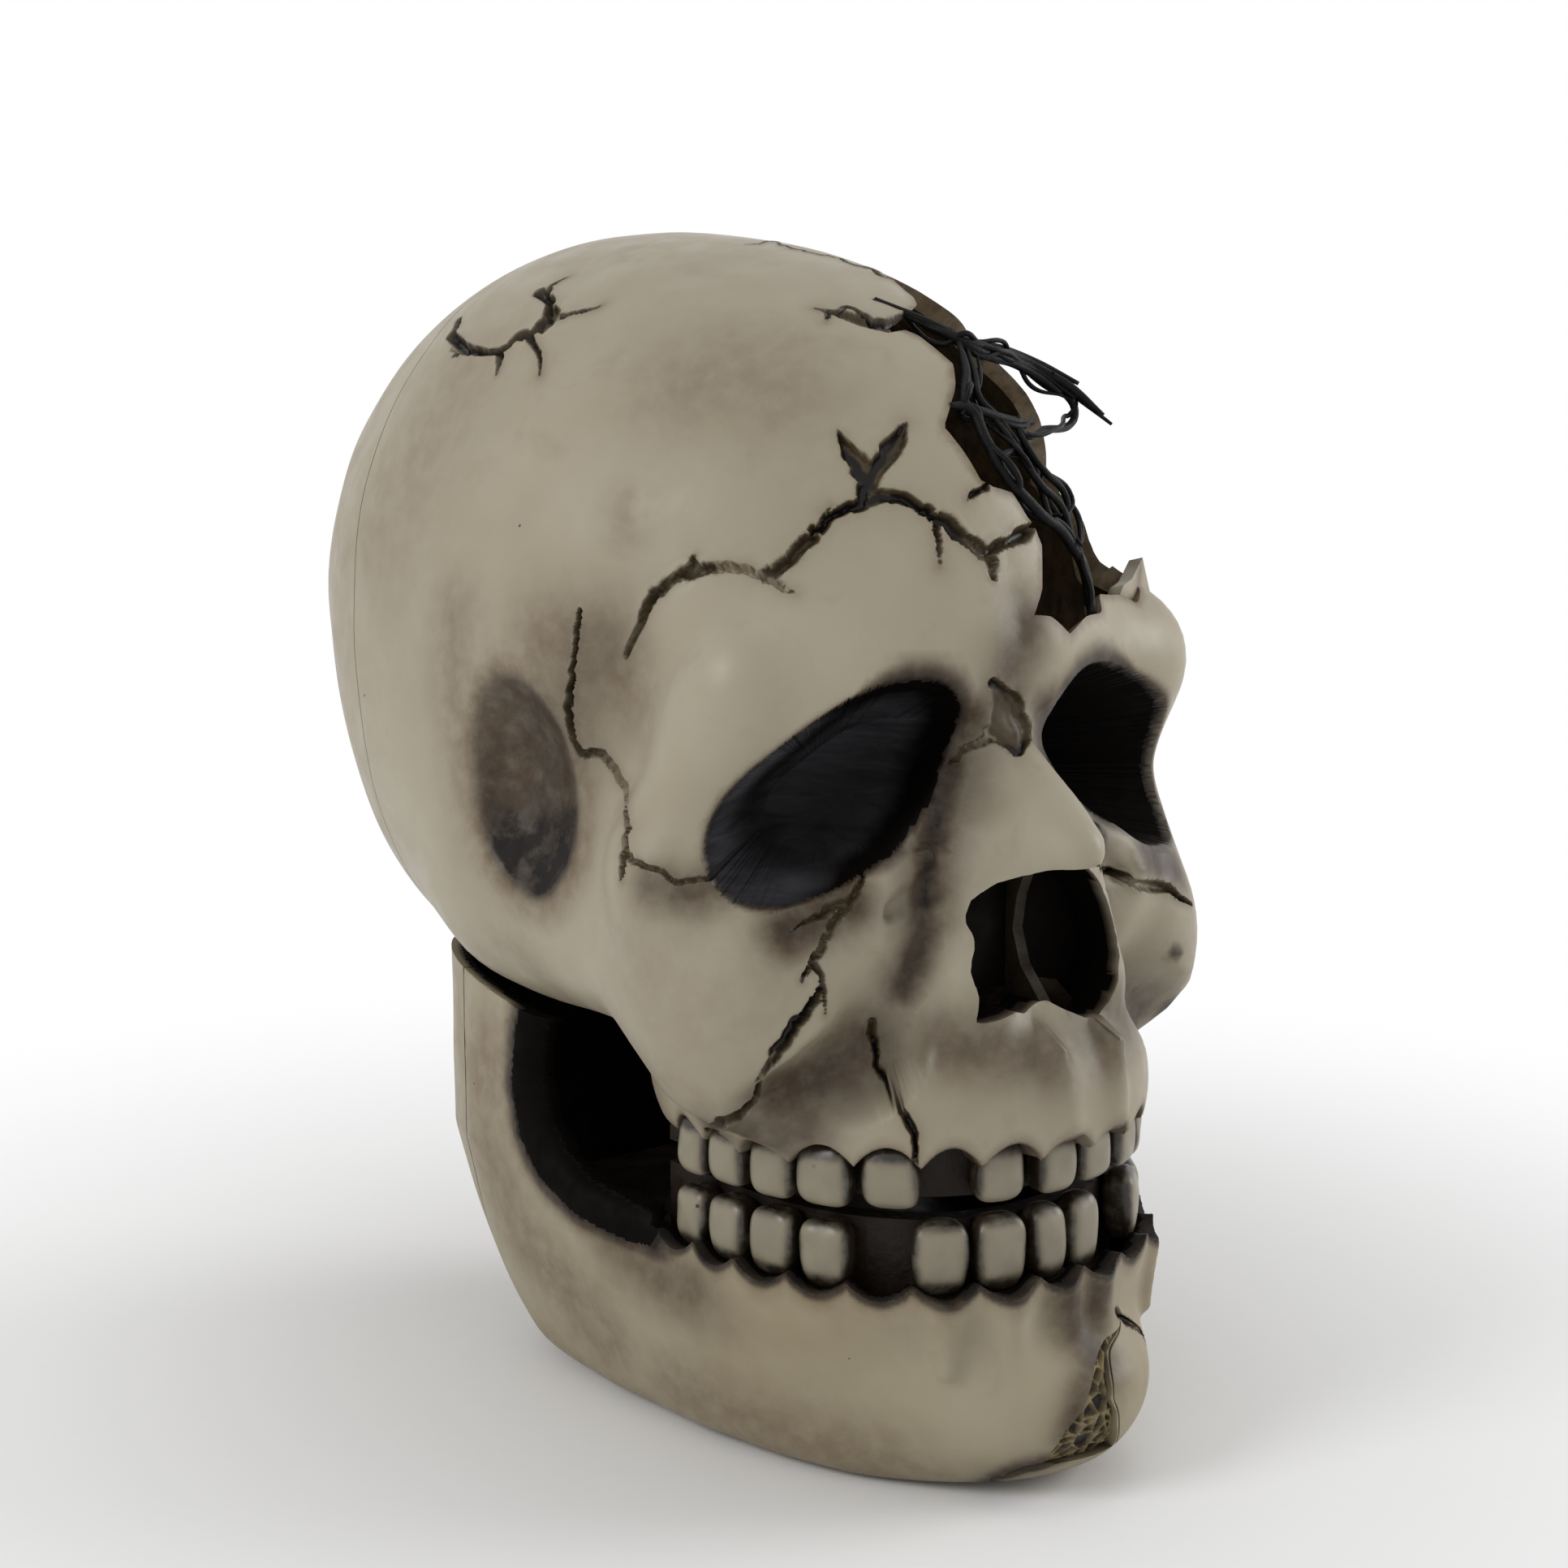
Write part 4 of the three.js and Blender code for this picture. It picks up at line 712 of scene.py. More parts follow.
# Rays and lines from the photograph
def photo_points(pixels, field):
    """Points where the rays through the pixels first meet a field; rays that miss are left out."""
    pixels = np.asarray(pixels, float)
    across = (pixels[:, 0] - PHOTO_SIZE / 2) / PHOTO_FOCAL
    above = (PHOTO_SIZE / 2 - pixels[:, 1]) / PHOTO_FOCAL
    rays = across[:, None] * CAMERA_RIGHT + above[:, None] * CAMERA_UP - CAMERA_BACK
    rays = rays / np.linalg.norm(rays, axis=1, keepdims=True)
    steps = np.arange(RAY_START, RAY_END, 1.0)
    marched = CAMERA_PLACE + steps[None, :, None] * rays[:, None, :]
    values = field(marched.reshape(-1, 3)).reshape(len(rays), -1)
    inside = values < 0
    hit = inside.any(axis=1)
    first = np.maximum(inside.argmax(axis=1), 1)
    rows = np.arange(len(rays))
    before = values[rows, first - 1]
    after = values[rows, first]
    part = before / np.maximum(before - after, 1e-6)
    reach = steps[first - 1] + part
    return (CAMERA_PLACE + reach[:, None] * rays)[hit]


def photo_pixels(points):
    """Pixels of the photograph at which points are seen."""
    away = points - CAMERA_PLACE
    depth = -(away @ CAMERA_BACK)
    across = PHOTO_SIZE / 2 + PHOTO_FOCAL * (away @ CAMERA_RIGHT) / depth
    down = PHOTO_SIZE / 2 - PHOTO_FOCAL * (away @ CAMERA_UP) / depth
    return np.stack((across, down), axis=1)


def outline_gap(pixels, outline):
    """Distance in pixels from the edge of an outline, negative inside it."""
    corners = np.asarray(outline, float)
    inside = np.zeros(len(pixels), bool)
    best = np.full(len(pixels), FAR)
    for start, end in zip(corners, np.roll(corners, -1, axis=0)):
        axis = end - start
        away = pixels - start
        along = np.clip(away @ axis / (axis @ axis), 0, 1)
        best = np.minimum(best, np.linalg.norm(away - along[:, None] * axis, axis=1))
        crosses = (start[1] > pixels[:, 1]) != (end[1] > pixels[:, 1])
        level = (pixels[:, 1] - start[1]) / (axis[1] if abs(axis[1]) > 1e-9 else 1e-9)
        inside ^= crosses & (pixels[:, 0] < start[0] + axis[0] * level)
    return np.where(inside, -best, best)


def patch_gaps(points):
    """Distance in pixels from the nearest broken patch, and its depth; only on the side that is seen."""
    pixels = photo_pixels(points)
    gaps = np.full(len(points), FAR)
    depths = np.zeros(len(points))
    for patch in BROKEN_PATCHES:
        gap = outline_gap(pixels, patch.outline)
        depths = np.where(gap < gaps, patch.depth, depths)
        gaps = np.minimum(gaps, gap)
    hidden = (points - CRANIUM_CENTRE) @ CAMERA_BACK < 0
    return np.where(hidden, FAR, gaps), depths


def sampled(line, spacing):
    """Points along a line of points at an even spacing."""
    line = np.asarray(line, float)
    lengths = np.concatenate(((0,), np.cumsum(np.linalg.norm(np.diff(line, axis=0), axis=1))))
    count = max(2, int(lengths[-1] / spacing) + 1)
    marks = np.linspace(0, lengths[-1], count)
    return np.stack([np.interp(marks, lengths, line[:, k]) for k in range(line.shape[1])], axis=1)


def jagged(line, spacing, amount, seed):
    """The sampled line with a small broken wander that leaves its ends in place."""
    points = sampled(line, spacing)
    wander = np.random.default_rng(seed)
    knots = max(3, len(points) // 5)
    places = np.linspace(0, 1, len(points))
    for k in range(points.shape[1]):
        offsets = wander.normal(0, amount, knots)
        offsets[0] = 0
        offsets[-1] = 0
        points[:, k] += np.interp(places, np.linspace(0, 1, knots), offsets)
    return points


def rounded(outline, times):
    """A closed outline with its corners cut again and again until they look round."""
    points = np.asarray(outline, float)
    for _ in range(times):
        after = np.roll(points, -1, axis=0)
        points = np.stack((0.75 * points + 0.25 * after, 0.25 * points + 0.75 * after), axis=1).reshape(-1, 2)
    return points


def halved(inside, outside, steps, field_at):
    """Closes in on a surface from places inside and outside it."""
    for _ in range(steps):
        middle = (inside + outside) / 2
        within = field_at(middle) < 0
        inside = np.where(within, middle, inside)
        outside = np.where(within, outside, middle)
    return inside, outside


LEAST_STRIDE = 0.5
STRIDE_SHARE = 0.6
REACH_STEPS = 11


def star_reach(field, centre, rays, farthest):
    """Distance along each ray from the centre to the outermost surface of a field."""
    outside = np.full(len(rays), float(farthest))
    inside = np.full(len(rays), 1.0)
    t = outside.copy()
    active = np.arange(len(rays))
    while len(active):
        d = field(centre + rays[active] * t[active, None])
        entered = d < 0
        inside[active[entered]] = t[active[entered]]
        active = active[~entered]
        outside[active] = t[active]
        t[active] = t[active] - np.maximum(LEAST_STRIDE, d[~entered] * STRIDE_SHARE)
        active = active[t[active] > 1]
    ends = halved(inside, outside, REACH_STEPS, lambda reach: field(centre + rays * reach[:, None]))
    return sum(ends) / 2


# Meshes and pieces
def vertex_array(verts):
    return np.array([vert.co[:] for vert in verts])


def set_vertices(verts, places):
    for vert, place in zip(verts, places):
        vert.co = place


@contextmanager
def edited(piece):
    """The mesh of a piece for editing, which is put back afterwards."""
    bm = bmesh.new()
    bm.from_mesh(piece.data)
    yield bm
    bm.to_mesh(piece.data)
    bm.free()


def only_triangles(bm):
    bmesh.ops.triangulate(bm, faces=[face for face in bm.faces if len(face.verts) > 3])


def split_long(bm, starts, ends, longest):
    """Splits the edges that are longer than asked for at their middles, and tells whether there were any."""
    edges = list(bm.edges)
    lengths = np.linalg.norm(starts - ends, axis=1)
    chosen = [edges[k] for k in np.nonzero(lengths > longest((starts + ends) / 2))[0]]
    if chosen:
        bmesh.ops.subdivide_edges(bm, edges=chosen, cuts=1, use_grid_fill=True)
    return bool(chosen)


def star_mesh(field, centre, farthest, subdivisions, longest=None, passes=0):
    """A ball whose points are moved along their rays onto a field.

    Edges that would come out longer than a length asked for at their middles are split first, on the ball.
    """
    bm = bmesh.new()
    bmesh.ops.create_icosphere(bm, subdivisions=subdivisions, radius=1.0)
    rays = vertex_array(bm.verts)
    places = centre + rays * star_reach(field, centre, rays, farthest)[:, None]
    for _ in range(passes):
        bm.verts.index_update()
        ends = np.array([(edge.verts[0].index, edge.verts[1].index) for edge in bm.edges])
        count = len(bm.verts)
        if not split_long(bm, places[ends[:, 0]], places[ends[:, 1]], longest):
            break
        bm.verts.ensure_lookup_table()
        fresh = bm.verts[count:]
        for vert in fresh:
            vert.co.normalize()
        only_triangles(bm)
        rays = vertex_array(fresh)
        added = centre + rays * star_reach(field, centre, rays, farthest)[:, None]
        places = np.concatenate((places, added))
    if any(not edge.is_manifold for edge in bm.edges):
        raise RuntimeError("the refined surface is no longer closed")
    set_vertices(bm.verts, places)
    return bm


def new_piece(name, bm):
    """A piece made from a mesh in millimetres, with its place in its points."""
    bmesh.ops.scale(bm, vec=(MM, MM, MM), verts=bm.verts)
    mesh = bpy.data.meshes.new(name)
    bm.to_mesh(mesh)
    bm.free()
    piece = bpy.data.objects.new(name, mesh)
    bpy.context.scene.collection.objects.link(piece)
    return piece


def drop(piece):
    mesh = piece.data
    bpy.data.objects.remove(piece)
    bpy.data.meshes.remove(mesh)


def shown_mesh(item):
    """The mesh of an object as its modifiers or its curves show it."""
    return bpy.data.meshes.new_from_object(item.evaluated_get(bpy.context.evaluated_depsgraph_get()))


def carve(piece, tool, operation="DIFFERENCE"):
    """Cuts, joins or intersects a piece with a closed tool."""
    cut = piece.modifiers.new("cut", "BOOLEAN")
    cut.operation = operation
    cut.solver = "MANIFOLD"
    cut.object = tool
    mesh = shown_mesh(piece)
    if not mesh.polygons:
        raise RuntimeError(f"nothing is left of {piece.name} after {tool.name}")
    piece.modifiers.clear()
    old = piece.data
    piece.data = mesh
    bpy.data.meshes.remove(old)
    mesh.name = piece.name
    drop(tool)


def copy_piece(piece, name):
    twin = bpy.data.objects.new(name, piece.data.copy())
    bpy.context.scene.collection.objects.link(twin)
    return twin


def island_of(start):
    """All the points that edges join to one point; they are tagged on the way."""
    start.tag = True
    island = [start]
    for vert in island:
        for edge in vert.link_edges:
            other = edge.other_vert(vert)
            if not other.tag:
                other.tag = True
                island.append(other)
    return island


def keep_largest(piece):
    """Removes loose crumbs, keeping the island with the most points."""
    with edited(piece) as bm:
        bmesh.ops.remove_doubles(bm, verts=bm.verts, dist=1e-7)
        for vert in bm.verts:
            vert.tag = False
        islands = [island_of(vert) for vert in bm.verts if not vert.tag]
        islands.sort(key=len)
        for island in islands[:-1]:
            bmesh.ops.delete(bm, geom=island, context="VERTS")


def refine(piece, longest, passes):
    """Splits the long edges of a carved piece where its paint needs more points."""
    with edited(piece) as bm:
        only_triangles(bm)
        for _ in range(passes):
            ends = np.array([(edge.verts[0].co[:], edge.verts[1].co[:]) for edge in bm.edges]) / MM
            if not split_long(bm, ends[:, 0], ends[:, 1], longest):
                break
            only_triangles(bm)


def smooth_shaded(piece, degrees):
    piece.data.shade_smooth()
    piece.data.set_sharp_from_angle(angle=math.radians(degrees))


def piece_points(piece):
    """Vertex places of a piece in millimetres."""
    places = np.empty(len(piece.data.vertices) * 3)
    piece.data.vertices.foreach_get("co", places)
    return places.reshape(-1, 3) / MM


def paint(piece, layers):
    """Stores layers of paint on the points of a piece, by name."""
    for name, values in layers.items():
        layer = piece.data.attributes.new(name, "FLOAT", "POINT")
        layer.data.foreach_set("value", np.clip(values, 0, 1).astype(np.float32))


def box_tool(low, high):
    bm = bmesh.new()
    bmesh.ops.create_cube(bm, size=1.0)
    low = Vector(low)
    high = Vector(high)
    bmesh.ops.scale(bm, vec=high - low, verts=bm.verts)
    bmesh.ops.translate(bm, vec=(low + high) / 2, verts=bm.verts)
    return new_piece("tool", bm)


def barrel_tool(x_low, x_high, radius):
    """A cylinder round the axis of the hinge."""
    bm = bmesh.new()
    bmesh.ops.create_cone(
        bm, cap_ends=True, segments=BARREL_SIDES, radius1=radius, radius2=radius, depth=x_high - x_low)
    bmesh.ops.rotate(bm, cent=(0, 0, 0), matrix=Matrix.Rotation(math.pi / 2, 3, "Y"), verts=bm.verts)
    bmesh.ops.translate(bm, vec=((x_low + x_high) / 2, HINGE_Y, HINGE_Z), verts=bm.verts)
    return new_piece("tool", bm)


def swept(bm):
    """Extrudes all the faces of a sheet and returns the new points."""
    made = bmesh.ops.extrude_face_region(bm, geom=list(bm.faces))
    return [item for item in made["geom"] if isinstance(item, bmesh.types.BMVert)]


def closed(bm):
    """Fills open rims, leaves only triangles and points the faces outwards."""
    bmesh.ops.holes_fill(bm, edges=[edge for edge in bm.edges if edge.is_boundary])
    bmesh.ops.triangulate(bm, faces=bm.faces)
    bmesh.ops.recalc_face_normals(bm, faces=bm.faces)
    return bm


def prism_tool(outline, sweep):
    """A flat closed outline of points, swept along a vector into a closed tool."""
    bm = bmesh.new()
    bm.faces.new([bm.verts.new(point) for point in outline])
    bmesh.ops.translate(bm, vec=sweep, verts=swept(bm))
    return new_piece("tool", closed(bm))


def front_prism(outline, y_front, y_back):
    return prism_tool([(x, y_front, z) for x, z in outline], (0, y_back - y_front, 0))


# Paint masks
SHADE_SPACING = 12


def strongest(*layers):
    """The strongest of several layers of paint at each point."""
    return np.maximum.reduce(layers)


def shade_mask(points, shades, field):
    """Soft airbrush strength at each point from lines on the photograph, a few of which are painted shade and
    shadow.
    """
    total = np.zeros(len(points))
    for shade in shades:
        placed = photo_points(sampled(shade.line, SHADE_SPACING), field)
        if not len(placed):
            continue
        sides = (placed, placed * (-1, 1, 1)) if shade.mirrored else (placed,)
        for line in sides:
            gaps = np.min(np.linalg.norm(points[:, None, :] - line[None, :, :], axis=2), axis=1)
            total = np.maximum(total, shade.strength * np.exp(-(gaps / shade.radius) ** 2))
    return total


CrackPath = namedtuple("CrackPath", "places half_widths depths")


# Jagged wander of the cracks: spacing of their points and how far they stray, in pixels or millimetres
PHOTO_JAG = (1.6, 1.6)
HIDDEN_JAG = (0.4, 0.7)
UNEVEN_WIDTH = (0.7, 1.25)
UNEVEN_STEPS = 9
THIN_END = 0.2
THIN_POWER = 1.5
SWELL_END = 0.3
SWELL_MARGIN = 0.02
SWELL_POWER = 0.6
SHALLOW_END = 0.4


def crack_taper(ends, part):
    """Share of its width that a crack has along its way from 0 to 1."""
    if ends == "thin":
        return 1 - (1 - THIN_END) * part ** THIN_POWER
    if ends == "swell":
        along = np.clip(part * (1 - 2 * SWELL_MARGIN) + SWELL_MARGIN, 0, 1)
        return SWELL_END + (1 - SWELL_END) * np.sin(math.pi * along) ** SWELL_POWER
    return np.ones(len(part))


def crack_path(cracks, field, from_photo, seed):
    """All the points along a set of cracks with their half widths and depths."""
    rows = []
    for number, crack in enumerate(cracks, seed):
        if from_photo:
            line = photo_points(jagged(crack.line, *PHOTO_JAG, number), field)
        else:
            rays = jagged(crack.line, *HIDDEN_JAG, number) - CRANIUM_CENTRE
            rays = rays / np.linalg.norm(rays, axis=1, keepdims=True)
            line = CRANIUM_CENTRE + rays * star_reach(field, CRANIUM_CENTRE, rays, CRANIUM_REACH)[:, None]
        if len(line) < 2:
            continue
        part = np.linspace(0, 1, len(line))
        taper = crack_taper(crack.ends, part)
        widths = np.random.default_rng(number).uniform(*UNEVEN_WIDTH, UNEVEN_STEPS)
        uneven = np.interp(part, np.linspace(0, 1, UNEVEN_STEPS), widths)
        depths = crack.depth * (SHALLOW_END + (1 - SHALLOW_END) * taper)
        rows.append((line, crack.half_width * taper * uneven, depths))
    return CrackPath(*(np.concatenate(column) for column in zip(*rows)))


def crack_tree(path):
    tree = KDTree(len(path.places))
    for k, place in enumerate(path.places):
        tree.insert(place, k)
    tree.balance()
    return tree


def nearest_crack(points, path):
    """Gap from each point to the nearest crack, with that crack's half width and depth there."""
    tree = crack_tree(path)
    found = [tree.find(point) for point in points]
    gaps = np.array([item[2] for item in found])
    which = np.array([item[1] for item in found])
    return gaps, path.half_widths[which], path.depths[which]


def inside_box(places):
    low, high = (np.array(corner) / MM for corner in CAD_BOX)
    return np.clip(places, low, high)


def verts_and_normals(bm):
    bm.normal_update()
    verts = list(bm.verts)
    return verts, vertex_array(verts), np.array([vert.normal[:] for vert in verts])


CRACK_SINK = 1.25
CRACK_STEEPNESS = 1.6
CRACK_ROUNDING = 0.9
LIP_HEIGHT = 0.16
LIP_OUT = 1.25
LIP_WIDTH = 0.45


def sink_cracks(bm, path, patches):
    """Sinks the cracks and the broken patches, with a slight lip beside each crack."""
    verts, places, normals = verts_and_normals(bm)
    gaps, half_widths, depths = nearest_crack(places, path)
    inside = np.clip(1 - gaps / half_widths, 0, 1)
    sunk = CRACK_SINK * depths * np.minimum(inside * CRACK_STEEPNESS, 1) ** CRACK_ROUNDING
    if patches:
        edges, patch_depths = patch_gaps(places)
        sunk = np.maximum(sunk, patch_depths * smooth_step(0.0, -PATCH_EDGE, edges))
    lip = LIP_HEIGHT * np.exp(-((gaps - half_widths * LIP_OUT) / LIP_WIDTH) ** 2)
    set_vertices(verts, inside_box(places - normals * (sunk - lip)[:, None]))


def uneven_surface(bm, amount, wave):
    """Very slight hand modelled waviness over the whole surface."""
    verts, places, normals = verts_and_normals(bm)
    x, y, z = (places / wave).T
    swell = np.sin(x * 1.3 + 2 * np.sin(y * 0.9)) * np.sin(y * 1.1 + 1.7 * np.sin(z * 0.8))
    swell = swell * np.sin(z * 1.2 + x * 0.4)
    set_vertices(verts, inside_box(places + normals * (amount * (swell - 1))[:, None]))


# Materials
PIT_SCALE = 190
STROKE_TURN = (0.5, 0.7, 0.3)
STROKE_STRETCH = (1.0, 1.0, 7.0)


def tint(colour, share):
    """A colour made darker, or lighter where the share is over 1."""
    return tuple(share * part for part in colour[:3])


class Nodes:
    """Adds nodes to a node tree and returns what they put out."""

    def __init__(self, tree):
        self.nodes = tree.nodes
        self.links = tree.links
        self.nodes.clear()

    def feed(self, slot, value):
        """Links an output to a socket, or sets a constant on the socket itself."""
        if isinstance(value, bpy.types.NodeSocket):
            self.links.new(value, slot)
        elif slot.type == "RGBA":
            slot.default_value = (*value[:3], 1.0)
        else:
            slot.default_value = value

    def add(self, kind, values, **settings):
        """A node with its settings made and its named sockets fed."""
        node = self.nodes.new(kind)
        for name, value in settings.items():
            setattr(node, name, value)
        for name, value in values.items():
            self.feed(node.inputs[name], value)
        return node

    def ramp(self, value, low, high, bottom=0.0, top=1.0):
        values = {"Value": value, "From Min": low, "From Max": high, "To Min": bottom, "To Max": top}
        return self.add("ShaderNodeMapRange", values, interpolation_type="SMOOTHSTEP").outputs["Result"]

    def arithmetic(self, operation, first, second):
        node = self.add("ShaderNodeMath", {}, operation=operation, use_clamp=operation in {"MULTIPLY", "ADD"})
        self.feed(node.inputs[0], first)
        self.feed(node.inputs[1], second)
        return node.outputs["Value"]

    def blend(self, amount, below, above):
        values = {"Factor": amount, "A": below, "B": above}
        return self.add("ShaderNodeMix", values, data_type="RGBA").outputs["Result"]

    def painted(self, name):
        return self.add("ShaderNodeAttribute", {}, attribute_name=name).outputs["Fac"]

    def bump(self, height, strength, distance, below=None):
        values = {"Height": height, "Strength": strength, "Distance": distance}
        if below is not None:
            values["Normal"] = below
        return self.add("ShaderNodeBump", values).outputs["Normal"]


class Surface(Nodes):
    """The nodes of a new material with one shader."""

    def __init__(self, name):
        self.material = bpy.data.materials.new(name)
        self.material.use_nodes = True
        super().__init__(self.material.node_tree)
        self.output = self.add("ShaderNodeOutputMaterial", {})
        self.shader = self.add("ShaderNodeBsdfPrincipled", {})
        self.links.new(self.shader.outputs["BSDF"], self.output.inputs["Surface"])
        self.coords = self.add("ShaderNodeTexCoord", {}).outputs["Object"]

    def noise(self, scale, detail, roughness=0.55, distortion=0.0, coords=None):
        values = {"Vector": coords or self.coords, "Scale": scale, "Detail": detail, "Roughness": roughness}
        return self.add("ShaderNodeTexNoise", values | {"Distortion": distortion}).outputs["Fac"]

    def pits(self, edge, spread, rare):
        """1 in small scattered pits and 0 between them."""
        cells = self.add("ShaderNodeTexVoronoi", {"Vector": self.coords, "Scale": PIT_SCALE})
        kept = self.ramp(self.noise(spread, detail=2), *rare)
        return self.arithmetic("MULTIPLY", self.ramp(cells.outputs["Distance"], *edge, 1.0, 0.0), kept)

    def strokes(self):
        """Long brush strokes that run one way."""
        values = {"Vector": self.coords, "Rotation": STROKE_TURN, "Scale": STROKE_STRETCH}
        turned = self.add("ShaderNodeMapping", values).outputs["Vector"]
        return self.ramp(self.noise(60, detail=5, roughness=0.6, distortion=0.6, coords=turned), 0.25, 0.8)

    def finish(self, values):
        """Feeds the shader's sockets and returns the material."""
        for name, value in values.items():
            self.feed(self.shader.inputs[name], value)
        return self.material


def bone_material(name, colours, light, shade, inner):
    """Moulded bone: soft mottling, pits, airbrushed soot and stain that also carry painted shadow and shade,
    grey socket floors that are partly a painted sheen, dark cracks and brown inside faces lightened as
    painted light.
    """
    bone = Surface(name)
    colour = bone.blend(bone.ramp(bone.noise(22, detail=4, roughness=0.6), 0.35, 0.7), light, shade)
    blotch = bone.noise(55, detail=6, roughness=0.65, distortion=0.4)
    colour = bone.blend(bone.ramp(blotch, 0.56, 0.74, top=0.16), colour, colours.stain)
    grain = bone.noise(260, detail=5, roughness=0.6)
    speckle = bone.ramp(grain, 0.35, 0.7)
    uneven = bone.ramp(grain, 0.2, 0.75, bottom=0.55, top=1.15)
    # The stain layer also carries the painted shade on the cheek
    stain = bone.arithmetic("MULTIPLY", bone.painted("stain"), uneven)
    colour = bone.blend(stain, colour, colours.stain)
    wisps = bone.ramp(bone.noise(190, detail=6, roughness=0.65), 0.3, 0.72, bottom=0.82, top=1.2)
    # The soot layer also carries the painted shadow under the cheekbone
    soot = bone.arithmetic("MULTIPLY", bone.painted("soot"), wisps)
    # Brushed grey on the socket floors, partly a painted sheen, shows under the soot
    brushed = bone.blend(bone.strokes(), colours.soot, colours.charcoal_and_sheen)
    charcoal_and_sheen = bone.painted("charcoal_and_sheen")
    colour = bone.blend(soot, colour, bone.blend(charcoal_and_sheen, colours.soot, brushed))
    # Inside faces: on the cranium a brown lightened as painted light through the thin shell, on the jaw black
    inside = bone.blend(speckle, inner, tint(inner, 0.45))
    colour = bone.blend(bone.painted("inner"), colour, inside)
    crack = bone.painted("crack")
    faces = bone.blend(speckle, colours.crack_face, tint(colours.crack_face, 0.5))
    broken = bone.blend(bone.ramp(crack, 0.45, 0.95), faces, colours.crack)
    colour = bone.blend(bone.ramp(crack, 0.0, 0.4), colour, broken)
    pit = bone.pits(edge=(0.04, 0.07), spread=90, rare=(0.66, 0.69))
    gloss = bone.ramp(bone.noise(140, detail=5), 0.3, 0.7, bottom=0.36, top=0.5)
    dull = bone.ramp(soot, 0.75, 1.0, top=0.32)
    dull = bone.arithmetic("MULTIPLY", dull, bone.ramp(charcoal_and_sheen, 0.0, 1.0, bottom=1.0, top=0.25))
    dents = bone.bump(pit, strength=0.6, distance=-0.0006)
    fine = bone.bump(bone.noise(420, detail=4), strength=0.12, distance=0.0003, below=dents)
    return bone.finish({
        "Base Color": bone.blend(pit, colour, colours.crack),
        "Roughness": bone.arithmetic("ADD", gloss, dull),
        "Specular IOR Level": 0.25,
        "Normal": bone.bump(bone.noise(60, detail=3), strength=0.15, distance=0.0008, below=fine),
    })


def tooth_material(colours):
    """Glossy tooth with brown paint worn off the middle of its face."""
    tooth = Surface("tooth_enamel")
    mottle = tooth.ramp(tooth.noise(160, detail=4), 0.35, 0.7)
    colour = tooth.blend(mottle, colours.tooth, tint(colours.tooth, 0.86))
    smoke = tooth.ramp(tooth.noise(330, detail=6, roughness=0.65), 0.25, 0.75, bottom=0.72, top=1.3)
    grime = tooth.arithmetic("MULTIPLY", tooth.painted("grime"), smoke)
    brown = tooth.blend(tooth.ramp(grime, 0.15, 0.6), colours.stain, colours.tooth_grime)
    colour = tooth.blend(grime, colour, brown)
    pit = tooth.pits(edge=(0.06, 0.12), spread=70, rare=(0.6, 0.64))
    dents = tooth.bump(pit, strength=0.5, distance=-0.0004)
    return tooth.finish({
        "Base Color": tooth.blend(pit, colour, colours.crack),
        "Roughness": tooth.ramp(tooth.noise(300, detail=4), 0.3, 0.7, bottom=0.3, top=0.45),
        "Normal": tooth.bump(tooth.noise(500, detail=4), strength=0.15, distance=0.0002, below=dents),
    })


def plain_material(name, first, second, scale, roughness, relief, metallic=0.0, specular=0.5):
    """Two close tints mixed by noise, with uneven gloss and a slight bump."""
    plain = Surface(name)
    mottle = plain.noise(scale, detail=6, roughness=0.6)
    return plain.finish({
        "Base Color": plain.blend(plain.ramp(mottle, 0.3, 0.7), first, second),
        "Roughness": plain.ramp(mottle, 0.3, 0.7, *roughness),
        "Metallic": metallic,
        "Specular IOR Level": specular,
        "Normal": plain.bump(plain.noise(scale * 3, detail=5), strength=relief, distance=0.0005),
    })


def socket_paint(name, colours):
    """Dull black that turns to brushed grey on the floor of the sockets; the grey is partly a painted sheen.
    """
    dark = Surface(name)
    grain = dark.noise(240, detail=6)
    black = dark.blend(grain, tint(colours.soot, 0.5), tint(colours.soot, 0.25))
    grey = dark.blend(dark.strokes(), tint(colours.charcoal_and_sheen, 0.4), colours.charcoal_and_sheen)
    return dark.finish({
        "Base Color": dark.blend(dark.painted("charcoal_and_sheen"), black, grey),
        "Roughness": dark.ramp(grain, 0.3, 0.7, bottom=0.5, top=0.7),
        "Specular IOR Level": 0.04,
        "Normal": dark.bump(grain, strength=0.15, distance=0.0005),
    })


def marrow_material(colours):
    """Brown walls of marrow with dark cells between them."""
    marrow = Surface("marrow_cells")
    mottle = marrow.ramp(marrow.noise(400, detail=5), 0.3, 0.7)
    walls = marrow.blend(mottle, colours.marrow, tint(colours.marrow, 2.4))
    return marrow.finish({
        "Base Color": marrow.blend(marrow.painted("cells"), walls, colours.crack),
        "Roughness": marrow.ramp(mottle, 0.0, 1.0, bottom=0.45, top=0.7),
        "Normal": marrow.bump(marrow.noise(900, detail=4), strength=0.3, distance=0.0003),
    })


def finish_piece(piece, material, body, slot, *nodes):
    piece.data.materials.clear()
    piece.data.materials.append(material)
    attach(piece, body)
    if nodes:
        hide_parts(*nodes)


BLACK_ENOUGH = 0.9


def black_faces(piece, values, material):
    """Gives a dull black paint to the faces whose corners are all marked."""
    piece.data.materials.append(material)
    for face in piece.data.polygons:
        if min(values[corner] for corner in face.vertices) > BLACK_ENOUGH:
            face.material_index = 1


